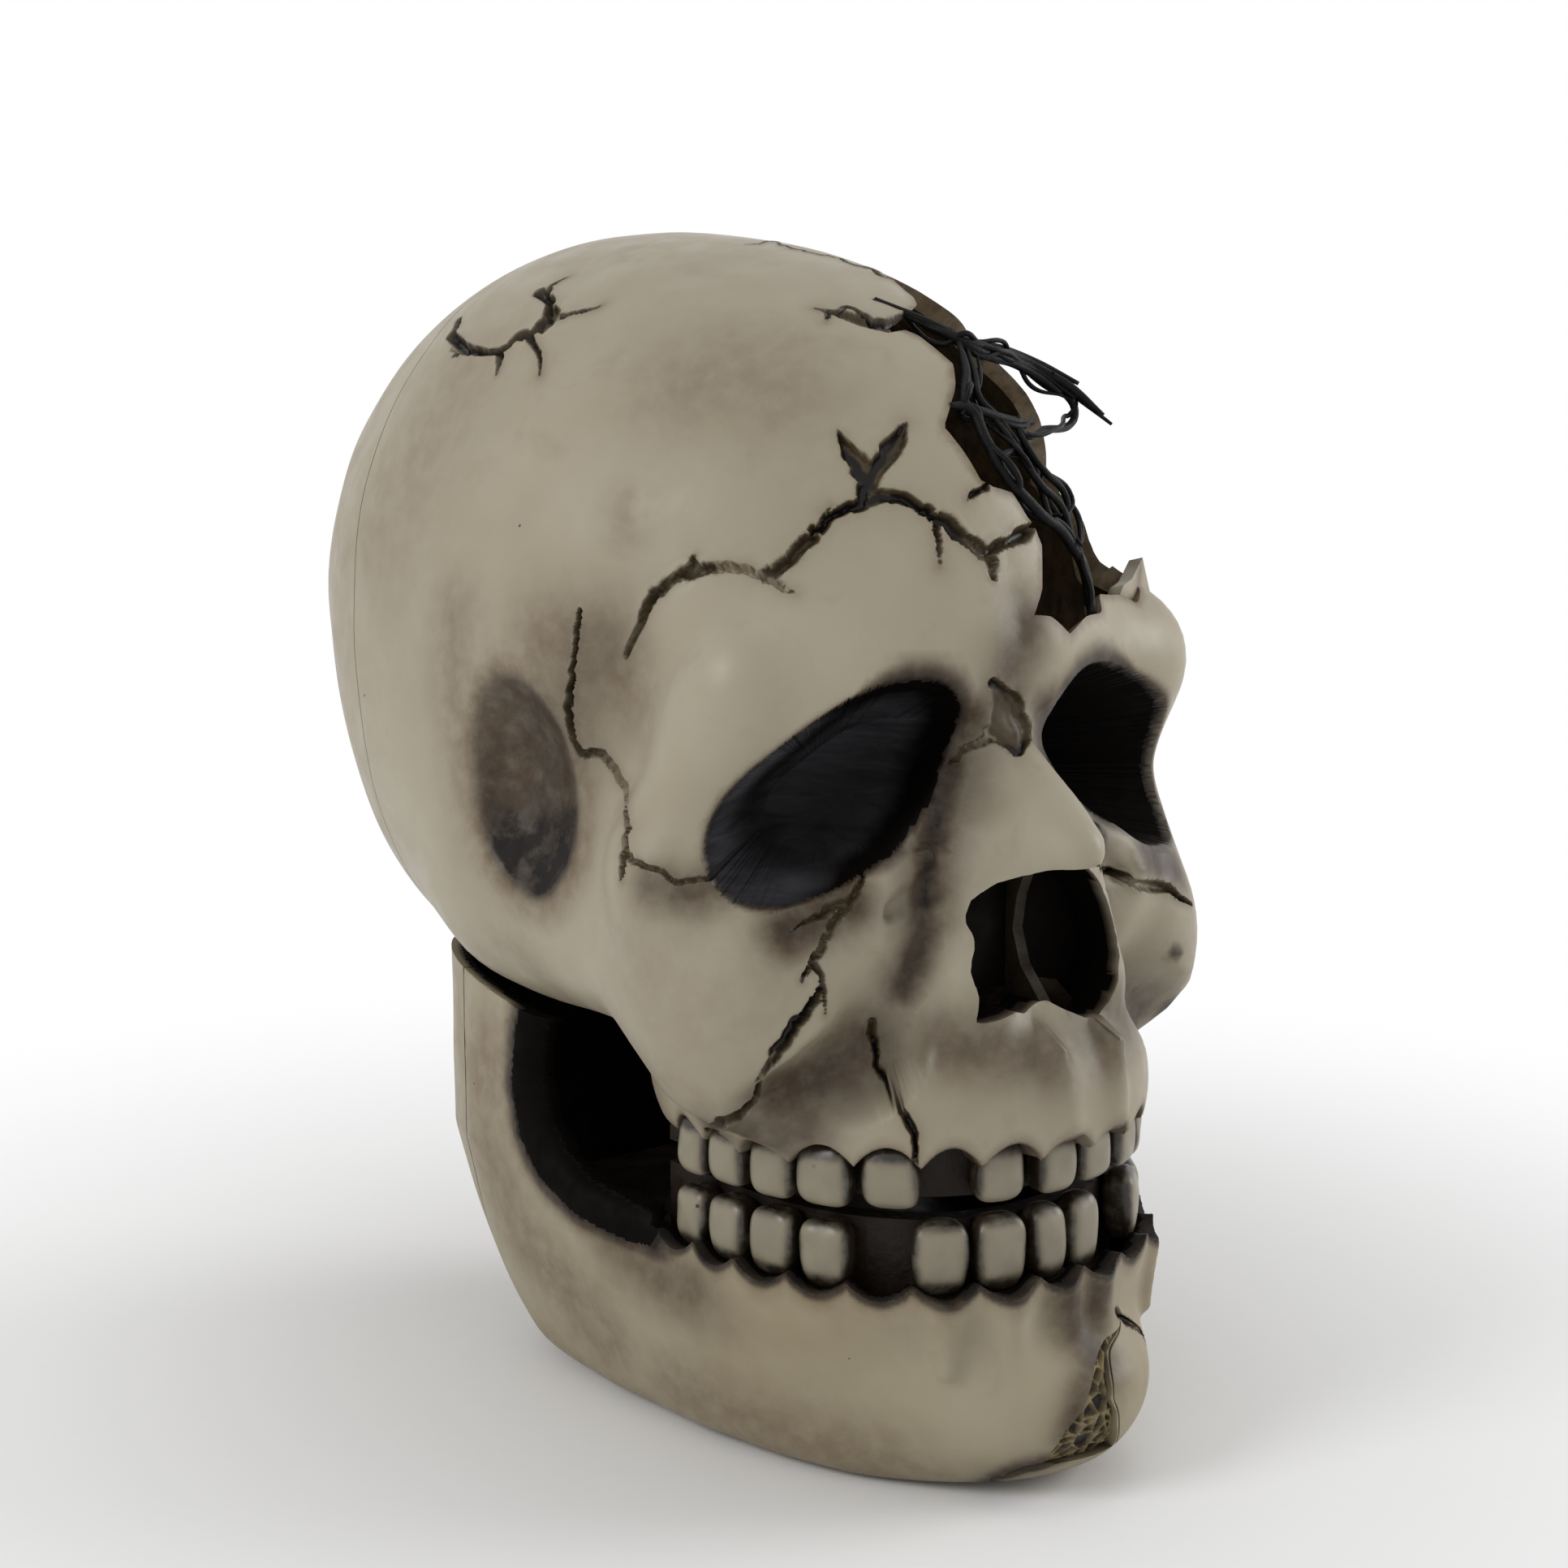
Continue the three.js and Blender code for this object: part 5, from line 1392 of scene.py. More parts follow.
class SkullSizes(PropertyGroup):
    """Sizes of the skull that a user would change."""
    crack_scale: FloatProperty(
        name="Crack size", description="Scales the width and depth of all the cracks",
        default=1.0, min=0.2, max=2.0)
    shell_detail: IntProperty(
        name="Shell detail", description="Subdivisions of the balls that the shells start from",
        default=6, min=5, max=7)
    strand_scale: FloatProperty(
        name="Strand thickness", description="Scales the radius of the strands",
        default=1.2, min=0.5, max=1.6)
    tooth_detail: IntProperty(
        name="Tooth detail", description="Subdivisions of the balls that the teeth start from",
        default=5, min=3, max=6)
    floor_size: FloatProperty(
        name="Floor size", description="Side of the square floor", default=6.0, unit="LENGTH")


def colour_property(name, description, default):
    return FloatVectorProperty(
        name=name, description=description, default=default, size=3, subtype="COLOR", min=0, max=1)


class SkullColours(PropertyGroup):
    """Colours of the skull, in linear light."""
    bone: colour_property("Bone", "Light bone", (0.36, 0.322, 0.24))
    bone_shade: colour_property("Bone shade", "Darker tint mottled over the bone", (0.325, 0.283, 0.205))
    jaw_bone: colour_property("Jaw bone", "Light bone of the jaw", (0.352, 0.31, 0.217))
    jaw_shade: colour_property("Jaw shade", "Darker tint of the jaw", (0.30, 0.25, 0.162))
    # Stain also colours the painted shade on the cheek
    stain: colour_property("Stain", "Brown stain", (0.12, 0.075, 0.04))
    # Soot also colours the painted shadow under the cheekbone
    soot: colour_property("Soot", "Black airbrushed paint", (0.0075, 0.0055, 0.0042))
    # Brushed grey of the socket floors, partly a painted sheen
    charcoal_and_sheen: colour_property("Charcoal", "Brushed grey in the sockets", (0.078, 0.078, 0.085))
    crack: colour_property("Crack", "Dark line of the cracks", (0.006, 0.004, 0.003))
    crack_face: colour_property("Crack face", "Broken faces of the cracks", (0.07, 0.05, 0.025))
    # Brown inside of the cranium, made lighter as painted light that comes through the thin shell
    inner: colour_property("Inner wall", "Brown inside of the cranium", (0.28, 0.208, 0.127))
    mouth: colour_property("Mouth", "Black inside of the jaw", (0.006, 0.0045, 0.0035))
    tooth: colour_property("Tooth", "Tooth face", (0.24, 0.212, 0.15))
    tooth_grime: colour_property("Tooth grime", "Dark paint round the teeth", (0.02, 0.013, 0.007))
    gum: colour_property("Gum", "Dark gum", (0.009, 0.006, 0.004))
    strand: colour_property("Strand", "Black strands", (0.004, 0.004, 0.004))
    marrow: colour_property("Marrow", "Walls of the marrow cells", (0.11, 0.085, 0.04))
    pin: colour_property("Pin", "Steel of the hinge pin", (0.35, 0.35, 0.36))
    floor: colour_property("Floor", "Pale floor", (0.93, 0.93, 0.93))


# Studio, in metres and watts
FLOOR_DROP_MM = -0.05
FLOOR_FADE = (0.07, 0.34)
WHITE = (1.0, 1.0, 1.0)
SKY_ON_THE_OBJECT = 0.45
SKY_IN_VIEW = 1.0
SENSOR_WIDTH = 36
NEAREST_SEEN = 0.01
Lamp = namedtuple("Lamp", "name place size power")
LAMPS = (
    Lamp("key", (-1.15, 0.1, 0.75), 0.6, 6.4),
    Lamp("fill", (1.05, -0.6, 0.5), 0.7, 6.6),
    Lamp("top", (0.1, 0.0, 1.25), 0.8, 1.6),
)
LAMP_AIM = Vector((0, 0, 0.12))


def make_floor(side, pale):
    """A pale floor that fades to plain white away from the object."""
    bm = bmesh.new()
    bmesh.ops.create_grid(bm, x_segments=1, y_segments=1, size=side / 2 / MM)
    bmesh.ops.translate(bm, vec=(0, 0, FLOOR_DROP_MM), verts=bm.verts)
    floor = new_piece("floor", bm)
    ground = Surface("pale_floor")
    material = ground.finish({
        "Base Color": ground.blend(ground.noise(300, detail=3), pale, tint(pale, 0.98)),
        "Roughness": 0.9,
    })
    away = ground.add("ShaderNodeVectorMath", {}, operation="LENGTH")
    ground.feed(away.inputs[0], ground.coords)
    white = ground.add("ShaderNodeEmission", {})
    fade = ground.add("ShaderNodeMixShader", {"Fac": ground.ramp(away.outputs["Value"], *FLOOR_FADE)})
    ground.feed(fade.inputs[1], ground.shader.outputs["BSDF"])
    ground.feed(fade.inputs[2], white.outputs["Emission"])
    ground.feed(ground.output.inputs["Surface"], fade.outputs["Shader"])
    floor.data.materials.append(material)


def make_world():
    """A soft sky for the object that looks plain white to the camera."""
    world = bpy.data.worlds.new("studio")
    world.use_nodes = True
    sky = Nodes(world.node_tree)
    soft = sky.add("ShaderNodeBackground", {"Color": WHITE, "Strength": SKY_ON_THE_OBJECT})
    white = sky.add("ShaderNodeBackground", {"Color": WHITE, "Strength": SKY_IN_VIEW})
    path = sky.add("ShaderNodeLightPath", {})
    shown = path.outputs["Is Camera Ray"]
    for ray in ("Is Glossy Ray", "Is Transmission Ray"):
        shown = sky.arithmetic("MAXIMUM", shown, path.outputs[ray])
    mix = sky.add("ShaderNodeMixShader", {"Fac": shown})
    sky.feed(mix.inputs[1], soft.outputs["Background"])
    sky.feed(mix.inputs[2], white.outputs["Background"])
    sky.add("ShaderNodeOutputWorld", {"Surface": mix.outputs["Shader"]})
    return world


def place_facing(scene, data, place, direction):
    """Adds a lamp or a camera at a place, turned to look in a direction."""
    item = bpy.data.objects.new(data.name, data)
    item.location = place
    item.rotation_mode = "QUATERNION"
    item.rotation_quaternion = direction.to_track_quat("-Z", "Y")
    scene.collection.objects.link(item)
    return item


class SKULL_OT_stage(Operator):
    """Makes the floor, the lights, the world and the photograph's camera"""
    bl_idname = "skull.stage"
    bl_label = "Studio"

    def execute(self, context):
        scene = context.scene
        make_floor(scene.skull_sizes.floor_size, scene.skull_colours.floor)
        scene.world = make_world()
        for lamp in LAMPS:
            data = bpy.data.lights.new(lamp.name, "AREA")
            data.shape = "DISK"
            data.size = lamp.size
            data.energy = lamp.power
            place_facing(scene, data, lamp.place, LAMP_AIM - Vector(lamp.place))
        data = bpy.data.cameras.new("photo_camera")
        data.sensor_width = SENSOR_WIDTH
        data.lens = SENSOR_WIDTH * PHOTO_FOCAL / PHOTO_SIZE
        data.clip_start = NEAREST_SEEN
        scene.camera = place_facing(scene, data, Vector(CAMERA_PLACE * MM), Vector(-CAMERA_BACK))
        scene.view_settings.view_transform = "Standard"
        return {"FINISHED"}


CRANIUM_CRACK_SEED = 11
HIDDEN_CRACK_SEED = 71
JAW_CRACK_SEED = 31


def scaled_path(path, scale):
    return CrackPath(path.places, path.half_widths * scale, path.depths * scale)


def cranium_paths(scale):
    seen = crack_path(CRANIUM_CRACKS, cranium_field, True, CRANIUM_CRACK_SEED)
    hidden = crack_path(HIDDEN_CRACKS, cranium_field, False, HIDDEN_CRACK_SEED)
    return scaled_path(CrackPath(*(np.concatenate(both) for both in zip(seen, hidden))), scale)


def hole_frame():
    across = Vector((0, 0, 1)).cross(HOLE_NORMAL).normalized()
    return across, HOLE_NORMAL.cross(across)


HOLE_SPACING = 1.2
FAR_EDGE = Fade(2, 12)


def hole_outline():
    """The ragged edge of the hole, flat in its own plane, and rougher on its far side."""
    across, upward = hole_frame()
    away = [Vector(point) - HOLE_CENTRE for point in HOLE_EDGE]
    flat = [(point.dot(across), point.dot(upward)) for point in away]
    ring = flat + flat[:1]
    near = jagged(ring, HOLE_SPACING, amount=0.45, seed=5)
    rough = jagged(ring, HOLE_SPACING, amount=1.4, seed=41) - sampled(ring, HOLE_SPACING)
    return (near + faded(FAR_EDGE, near[:, :1]) * rough)[:-1]


def hole_gap(points):
    """Distance from the edge of the hole, measured in its plane; far on the hidden side."""
    across, upward = hole_frame()
    away = points - np.array(HOLE_CENTRE)
    flat = np.stack((away @ np.array(across), away @ np.array(upward)), axis=1)
    gaps = np.abs(outline_gap(flat, hole_outline()))
    return np.where(away @ np.array(HOLE_NORMAL) < -HOLE_DEPTH, FAR, gaps)


def hole_tool():
    """A ragged prism that breaks the hole into the forehead."""
    across, upward = hole_frame()
    ring = [HOLE_CENTRE + across * u + upward * v - HOLE_NORMAL * HOLE_DEPTH for u, v in hole_outline()]
    return prism_tool(ring, HOLE_NORMAL * (HOLE_DEPTH + HOLE_HEIGHT))


# Fades of the paint on both shells, in millimetres
CRACK_CORE = Fade(1.3, 0.35)
ON_SURFACE = Fade(-2.9, -2.4)
STAIN_UNDER_SOOT = 1.6
# Fades of the paint on the cranium
BELOW_SURFACE = Fade(0.0, -0.9)
EYE_PAINT = Fade(2.6, 1.4)
TEMPLE_PAINT = Fade(2.6, 1.2)
TEMPLE_DEPTH = Fade(0.1, -1.2)
NOSE_SIDE = Fade(23, 20)
NOSE_FLOOR = Fade(77, 79)
NOSE_TOP = Fade(114, 111)
NOSE_AHEAD = Fade(-58, -62)
NOSE_DEPTH = Fade(-0.5, -1.6)
NOSE_SOOT = 0.96
INNER_WALL = Fade(-0.9, -1.8)
HALO_TO_NOSE = Fade(38, 22)
HALO_LOW = Fade(118, 106, 0.3)
HALO_LEAST = 0.7
HALO_ADDED = 5.0
HALO_STRENGTH = 0.9
HALO_DEPTH = Fade(-3.0, -1.0)
TEMPLE_UP = Fade(102, 134)
TEMPLE_BACK = Fade(-14, 12, 0.35)
TEMPLE_DOWN = Fade(120, 101, 0.4)
TEMPLE_SOOT = 0.74
AT_UPPER_TEETH = Fade(-8, -16)
UPPER_GUM_SOOT = Fade(0.9, -0.4, 0.9)
UPPER_GUM_STAIN = Fade(3.2, 0.4, 0.45)
CRACK_STAIN = 0.6
CRACK_STAIN_REACH = 1.5
TEMPLE_STAIN = Fade(8, 0.5, 0.75)
HOLE_STAIN = Fade(1.8, 0.2, 0.8)
REAR_STAIN = Fade(30, 90, 0.28)
BORDER_STAIN = Fade(14, 1, 0.4)
BORDER_BACK = Fade(-30, 0)
# Brushed grey of the socket floors, partly a painted sheen: its depth below the rim, widened up the outer
# wall of the near eye and kept to the inner side of the far eye
CHARCOAL_AND_SHEEN_OUTWARD = Fade(22, 44, 6.5)
CHARCOAL_AND_SHEEN_DEPTH = 6.0
CHARCOAL_AND_SHEEN_BLEND = 4.0
CHARCOAL_AND_SHEEN_FAR_EYE = Fade(43, 33)
BROKEN_PAINT = Fade(1.5, -2.0)
BROKEN_CRACK = 0.42
NEAR_CRACK = Fade(1.6, 1.0)


def paint_cranium(piece, path):
    """Paints a shell of the cranium and returns the marks of its black sockets."""
    points = piece_points(piece)
    x, y, z = points.T
    side = both_sides(points)
    plain = plain_cranium(points, True)
    surface = cranium_field(points)
    gaps, half_widths, _ = nearest_crack(points, path)
    gaps = np.sqrt(np.clip(gaps ** 2 - surface ** 2, 0, None))
    on_surface = faded(ON_SURFACE, surface)
    eye = socket_field(side, EYE)
    temple = socket_field(side, TEMPLE)
    in_eye = faded(EYE_PAINT, eye) * faded(BELOW_SURFACE, plain)
    in_temple = faded(TEMPLE_PAINT, temple) * faded(TEMPLE_DEPTH, plain)
    in_nose = faded(NOSE_SIDE, side[:, 0]) * faded(NOSE_FLOOR, z) * faded(NOSE_TOP, z) * faded(NOSE_AHEAD, y)
    nose_dark = in_nose * faded(NOSE_DEPTH, surface)
    inner = faded(INNER_WALL, surface) * (1 - nose_dark)

    reach = HALO_LEAST + HALO_ADDED * np.maximum(faded(HALO_TO_NOSE, side[:, 0]), faded(HALO_LOW, z))
    halo = HALO_STRENGTH * smooth_step(reach, 0.0, eye) * faded(HALO_DEPTH, plain)
    temple_soot = in_temple * (TEMPLE_SOOT + faded(TEMPLE_DOWN, z))
    temple_soot = temple_soot * (1.0 - faded(TEMPLE_BACK, y) * faded(TEMPLE_UP, z))
    above_cusps = z - cusp_line_z(x, y)
    at_teeth = faded(AT_UPPER_TEETH, y)
    # Black airbrushed soot, and from its lines the painted shadow under the cheekbone
    soot = strongest(
        in_eye,
        halo,
        temple_soot,
        nose_dark * NOSE_SOOT,
        shade_mask(points, SOOT_AND_SHADOW_LINES, cranium_field) * on_surface,
        faded(UPPER_GUM_SOOT, above_cusps) * at_teeth,
    )
    # Brown stain, and from its lines the painted shade on the down-facing cheek
    stain = strongest(
        shade_mask(points, STAIN_AND_SHADE_LINES, cranium_field),
        CRACK_STAIN * np.exp(-gaps / CRACK_STAIN_REACH) * on_surface,
        faded(TEMPLE_STAIN, temple),
        faded(HOLE_STAIN, hole_gap(points)) * on_surface,
        faded(REAR_STAIN, y),
        faded(BORDER_STAIN, z - border_z(x, y)) * faded(BORDER_BACK, y),
        faded(UPPER_GUM_STAIN, above_cusps) * at_teeth,
        np.clip(STAIN_UNDER_SOOT * soot, 0, 1),
    )
    # Brushed grey on the socket floors, partly a painted sheen that reaches up the outer wall of the near eye
    floor_depth = np.where(x < 0, faded(CHARCOAL_AND_SHEEN_OUTWARD, side[:, 0]), 0.0) - CHARCOAL_AND_SHEEN_DEPTH
    charcoal_and_sheen = in_eye * np.clip((floor_depth - plain) / CHARCOAL_AND_SHEEN_BLEND, 0, 1)
    charcoal_and_sheen = charcoal_and_sheen * np.where(x < 0, 1.0, faded(CHARCOAL_AND_SHEEN_FAR_EYE, side[:, 0]))
    broken = faded(BROKEN_PAINT, patch_gaps(points)[0])
    crack = np.maximum(faded(CRACK_CORE, gaps / half_widths), BROKEN_CRACK * broken) * on_surface
    near_crack = np.maximum(faded(NEAR_CRACK, gaps / half_widths), broken) * on_surface
    inner = inner * (1 - near_crack)
    paint(piece, {"crack": crack, "inner": inner, "soot": soot, "stain": stain, "charcoal_and_sheen": charcoal_and_sheen})
    return np.maximum(in_eye, nose_dark)


def bore_tool():
    return barrel_tool(-BORE_REACH, BORE_REACH, PIN_RADIUS)


# Longest edges of the cranium's mesh in millimetres, before and after it is carved
CRANIUM_EDGE = 3.2
GUM_EDGE = 1.25
GUM_LOW_Z = 57
GUM_TOP_Z = 66.5
GUM_BACK_Y = -12
NEAR_EYE = 4
IN_EYE = 2
EYE_DEPTH = 5
EYE_RIM_DEPTH = 2.5
NEAR_TEMPLE = 3
SOCKET_EDGE = 1.6
EYE_RIM_EDGE = 1.3
EYE_FLOOR_EDGE = 6.0
NEAR_LID = 2.5
LID_EDGE = 1.0
BESIDE_CRACK = 3.5
BESIDE_CRACK_EDGE = 1.2
IN_CRACK = 1.7
IN_CRACK_EDGE = 0.7
IN_PATCH = 1.5
IN_PATCH_EDGE = 0.65
CARVED_EDGE = 8.0
CARVED_EYE = 3
CARVED_EYE_LOW_Z = 80
CARVED_EYE_EDGE = 5.0
CARVED_RIM_EDGE = 1.4
CARVED_NOSE_SIDE = 22
CARVED_NOSE_LOW_Z = 77
CARVED_NOSE_TOP_Z = 113
CARVED_NOSE_EDGE = 2.8
NEAR_HOLE = 4
CARVED_HOLE_EDGE = 2.0
HOLLOW_DETAIL = 6
SHARP_DEGREES = 48


def cranium_edges(points, tree):
    """Longest edge at each point of the plain shell, finer where it is sculpted or cracked."""
    _, y, z = points.T
    side = both_sides(points)
    eye = socket_field(side, EYE)
    plain = plain_cranium(points, True)
    lid = np.minimum.reduce([bar_field(side, bar) for bar in LID + LID_CREASE])
    gaps = np.array([tree.find(point)[2] for point in points])
    limits = np.full(len(points), CRANIUM_EDGE)
    limits[(z < GUM_TOP_Z) & (y < GUM_BACK_Y) & (z > GUM_LOW_Z)] = GUM_EDGE
    limits[(eye < NEAR_EYE) & (plain > -EYE_DEPTH)] = SOCKET_EDGE
    limits[(eye < IN_EYE) & (plain > -EYE_RIM_DEPTH)] = EYE_RIM_EDGE
    limits[(eye < IN_EYE) & (plain < -EYE_DEPTH)] = EYE_FLOOR_EDGE
    limits[np.abs(socket_field(side, TEMPLE)) < NEAR_TEMPLE] = SOCKET_EDGE
    limits[lid < NEAR_LID] = np.minimum(limits[lid < NEAR_LID], LID_EDGE)
    limits[gaps < BESIDE_CRACK] = np.minimum(limits[gaps < BESIDE_CRACK], BESIDE_CRACK_EDGE)
    limits[gaps < IN_CRACK] = IN_CRACK_EDGE
    limits[patch_gaps(points)[0] < IN_PATCH] = IN_PATCH_EDGE
    return limits


def carved_edges(points):
    """Longest edge at each point of the carved shell, finer where its paint changes."""
    _, y, z = points.T
    side = both_sides(points)
    in_eye = (socket_field(side, EYE) < CARVED_EYE) & (z > CARVED_EYE_LOW_Z)
    in_nose = (side[:, 0] < CARVED_NOSE_SIDE) & (y < NOSE_ROOM_BACK_Y)
    in_nose = in_nose & (z > CARVED_NOSE_LOW_Z) & (z < CARVED_NOSE_TOP_Z)
    limits = np.full(len(points), CARVED_EDGE)
    limits[in_eye] = CARVED_EYE_EDGE
    limits[in_eye & (plain_cranium(points, True) > -EYE_RIM_DEPTH)] = CARVED_RIM_EDGE
    limits[in_nose] = CARVED_NOSE_EDGE
    limits[hole_gap(points) < NEAR_HOLE] = CARVED_HOLE_EDGE
    return limits


class SKULL_OT_cranium(Operator):
    """Makes the face shell and the rear shell of the cranium"""
    bl_idname = "skull.cranium"
    bl_label = "Cranium shells"

    def execute(self, context):
        sizes = context.scene.skull_sizes
        colours = context.scene.skull_colours
        path = cranium_paths(sizes.crack_scale)
        tree = crack_tree(path)

        def longest(points):
            return cranium_edges(points, tree)

        outer = star_mesh(cranium_field, CRANIUM_CENTRE, CRANIUM_REACH, sizes.shell_detail, longest, passes=3)
        uneven_surface(outer, amount=0.22, wave=9.0)
        sink_cracks(outer, path, True)
        whole = new_piece("face_bone", outer)
        hollow = star_mesh(cranium_hollow, CRANIUM_CENTRE, CRANIUM_REACH, HOLLOW_DETAIL)
        carve(whole, new_piece("hollow", hollow))
        chipped = jagged(NOSE_OPENING + NOSE_OPENING[:1], spacing=0.7, amount=0.38, seed=17)[:-1]
        carve(whole, front_prism(chipped, NOSE_FRONT_Y, NOSE_BACK_Y))
        room = OUTER_KNUCKLE_END + KNUCKLE_PLAY
        carve(whole, barrel_tool(-room, room, KNUCKLE_ROOM))
        rear = copy_piece(whole, "rear_bone")
        carve(whole, box_tool(*BEHIND_CRANIUM_SEAM))
        carve(whole, hole_tool())
        carve(whole, prism_tool(SHARD, SHARD_BACK), "UNION")
        carve(rear, box_tool(*AHEAD_OF_CRANIUM_SEAM))
        carve(rear, barrel_tool(-MIDDLE_KNUCKLE, MIDDLE_KNUCKLE, KNUCKLE_RADIUS), "UNION")
        carve(rear, box_tool(*MIDDLE_STRAP), "UNION")
        carve(rear, bore_tool())
        material = bone_material("skull_bone", colours, colours.bone, colours.bone_shade, colours.inner)
        black = socket_paint("socket_paint", colours)
        for piece, node in ((whole, "face_shell"), (rear, "rear_shell")):
            keep_largest(piece)
            if piece is whole:
                refine(piece, carved_edges, passes=4)
            smooth_shaded(piece, SHARP_DEGREES)
            hollow_marks = paint_cranium(piece, path)
            finish_piece(piece, material, "cranium", "skull_shell", node)
            black_faces(piece, hollow_marks, black)
        return {"FINISHED"}


RIM_DROP = 0.3
LID_TOP_Z = 130
LID_HALF_SIZE = (70, 92, 1)
LID_MIDDLE = (0, -12, 0)
RIM_BACK_Y = -20
HINGE_LEDGE_Y = 51
HINGE_LEDGE_DROP = 4.5
PLATE_SIDES = 64
PLATE_POWER = 2.6
PLATE_HALF_WIDTH = 24
PLATE_HALF_LENGTH = 44
PLATE_MIDDLE_Y = -17
PLATE_LOW_Z = -2
PLATE_TOP_Z = 7.2
SIDE_REACH = 100


def lower_rim_z(x, y):
    return LOWER_GUM_Z - RIM_DROP + LOWER_CUSP * cusp(arch_distance(x, y), LOWER_ROW)


def lid_tool():
    """Everything above the jaw's top edge: the scalloped rim at the teeth and the border at the back."""
    bm = bmesh.new()
    bmesh.ops.create_grid(bm, x_segments=170, y_segments=220, size=1.0)
    bmesh.ops.scale(bm, vec=LID_HALF_SIZE, verts=bm.verts)
    bmesh.ops.translate(bm, vec=LID_MIDDLE, verts=bm.verts)
    places = vertex_array(bm.verts)
    x, y = places[:, 0], places[:, 1]
    top = border_z(x, y) - BORDER_GAP - np.where(y > HINGE_LEDGE_Y, HINGE_LEDGE_DROP, 0)
    places[:, 2] = np.where(y < RIM_BACK_Y, lower_rim_z(x, y), top)
    set_vertices(bm.verts, places)
    for vert in swept(bm):
        vert.co.z = LID_TOP_Z
    return new_piece("tool", closed(bm))


def plate_tool():
    """Opening in the jaw's underside: an oval with squared corners."""
    outline = []
    for k in range(PLATE_SIDES):
        angle = k / PLATE_SIDES * 2 * math.pi
        across = math.copysign(abs(math.cos(angle)) ** (2 / PLATE_POWER), math.cos(angle))
        ahead = math.copysign(abs(math.sin(angle)) ** (2 / PLATE_POWER), math.sin(angle))
        outline.append((PLATE_HALF_WIDTH * across, PLATE_MIDDLE_Y + PLATE_HALF_LENGTH * ahead, PLATE_LOW_Z))
    return prism_tool(outline, (0, 0, PLATE_TOP_Z - PLATE_LOW_Z))


def side_prism(outline):
    return prism_tool([(-SIDE_REACH, y, z) for y, z in outline], (2 * SIDE_REACH, 0, 0))


def soften_edges(piece, sharp_angle, low_z, times):
    """Rounds the cut edges of the jaw's rim a little."""
    with edited(piece) as bm:
        bmesh.ops.remove_doubles(bm, verts=bm.verts, dist=2e-5)
        sharp = set()
        for edge in bm.edges:
            if len(edge.link_faces) == 2 and edge.calc_face_angle(0) > sharp_angle:
                sharp.update(vert for vert in edge.verts if vert.co.z > low_z * MM)
        for _ in range(times):
            bmesh.ops.smooth_vert(
                bm, verts=list(sharp), factor=0.5, use_axis_x=True, use_axis_y=True, use_axis_z=True)


# Fades of the paint on the jaw
AT_LOWER_TEETH = Fade(-16, -26)
JAW_INNER_WALL = Fade(-0.9, -2.2)
BRANCH_BACK = Fade(-34, -20)
BRANCH_UP = Fade(28, 38)
BRANCH_SOOT = Fade(EDGE_ROUNDING + 3.8, 5.2)
BRANCH_BLACK = Fade(7.0, 6.0)
BRANCH_STAIN = Fade(EDGE_ROUNDING + 9, 4, 0.8)
RIM_SOOT = Fade(-2.2, -0.2, 0.9)
RIM_STAIN = Fade(-6, -0.5, 0.5)
FOOT_STAIN = Fade(14, 2, 0.45)
JAW_REAR_STAIN = Fade(10, 50, 0.35)


def paint_jaw(piece, path):
    """Paints a piece of the jaw and returns the marks of its black inside."""
    points = piece_points(piece)
    x, y, z = points.T
    outside = jaw_field(points)
    gaps, half_widths, _ = nearest_crack(points, path)
    gaps = np.sqrt(np.clip(gaps ** 2 - outside ** 2, 0, None))
    rim = z - lower_rim_z(x, y)
    at_teeth = faded(AT_LOWER_TEETH, y)
    inner = faded(JAW_INNER_WALL, outside)
    edge_gap = mouth_edge_gap(y, z)
    branch = faded(BRANCH_BACK, y) * faded(BRANCH_UP, z)
    soot = strongest(
        faded(BRANCH_SOOT, edge_gap) * branch,
        faded(RIM_SOOT, rim) * at_teeth,
        shade_mask(points, JAW_SOOT_SHADES, jaw_field),
    )
    stain = strongest(
        shade_mask(points, JAW_STAIN_SHADES, jaw_field),
        faded(RIM_STAIN, rim) * at_teeth,
        faded(BRANCH_STAIN, edge_gap) * branch,
        np.clip(STAIN_UNDER_SOOT * soot, 0, 1),
        faded(FOOT_STAIN, z),
        faded(JAW_REAR_STAIN, y),
    )
    crack = faded(CRACK_CORE, gaps / half_widths) * faded(ON_SURFACE, outside)
    no_charcoal = np.zeros(len(points))
    paint(piece, {"crack": crack, "inner": inner, "soot": soot, "stain": stain, "charcoal_and_sheen": no_charcoal})
    return np.maximum(inner, faded(BRANCH_BLACK, edge_gap) * branch)


# Longest edges of the jaw's mesh, in millimetres
JAW_EDGE = 2.4
JAW_RIM_EDGE = 0.9
JAW_RIM_Z = 39
JAW_RIM_REACH = 5
JAW_RIM_BACK_Y = -14
JAW_CHIN_EDGE = 1.0
JAW_CHIN_SIDE = 26
JAW_CHIN_BACK_Y = -70
JAW_CHIN_TOP_Z = 34
NEAR_BRANCH = 9
BRANCH_FRONT_Y = -30
FLAKE_PLAY = 0.3
FLAKE_MIDDLE = (10, 18)
FLAKE_ROUNDING = 2


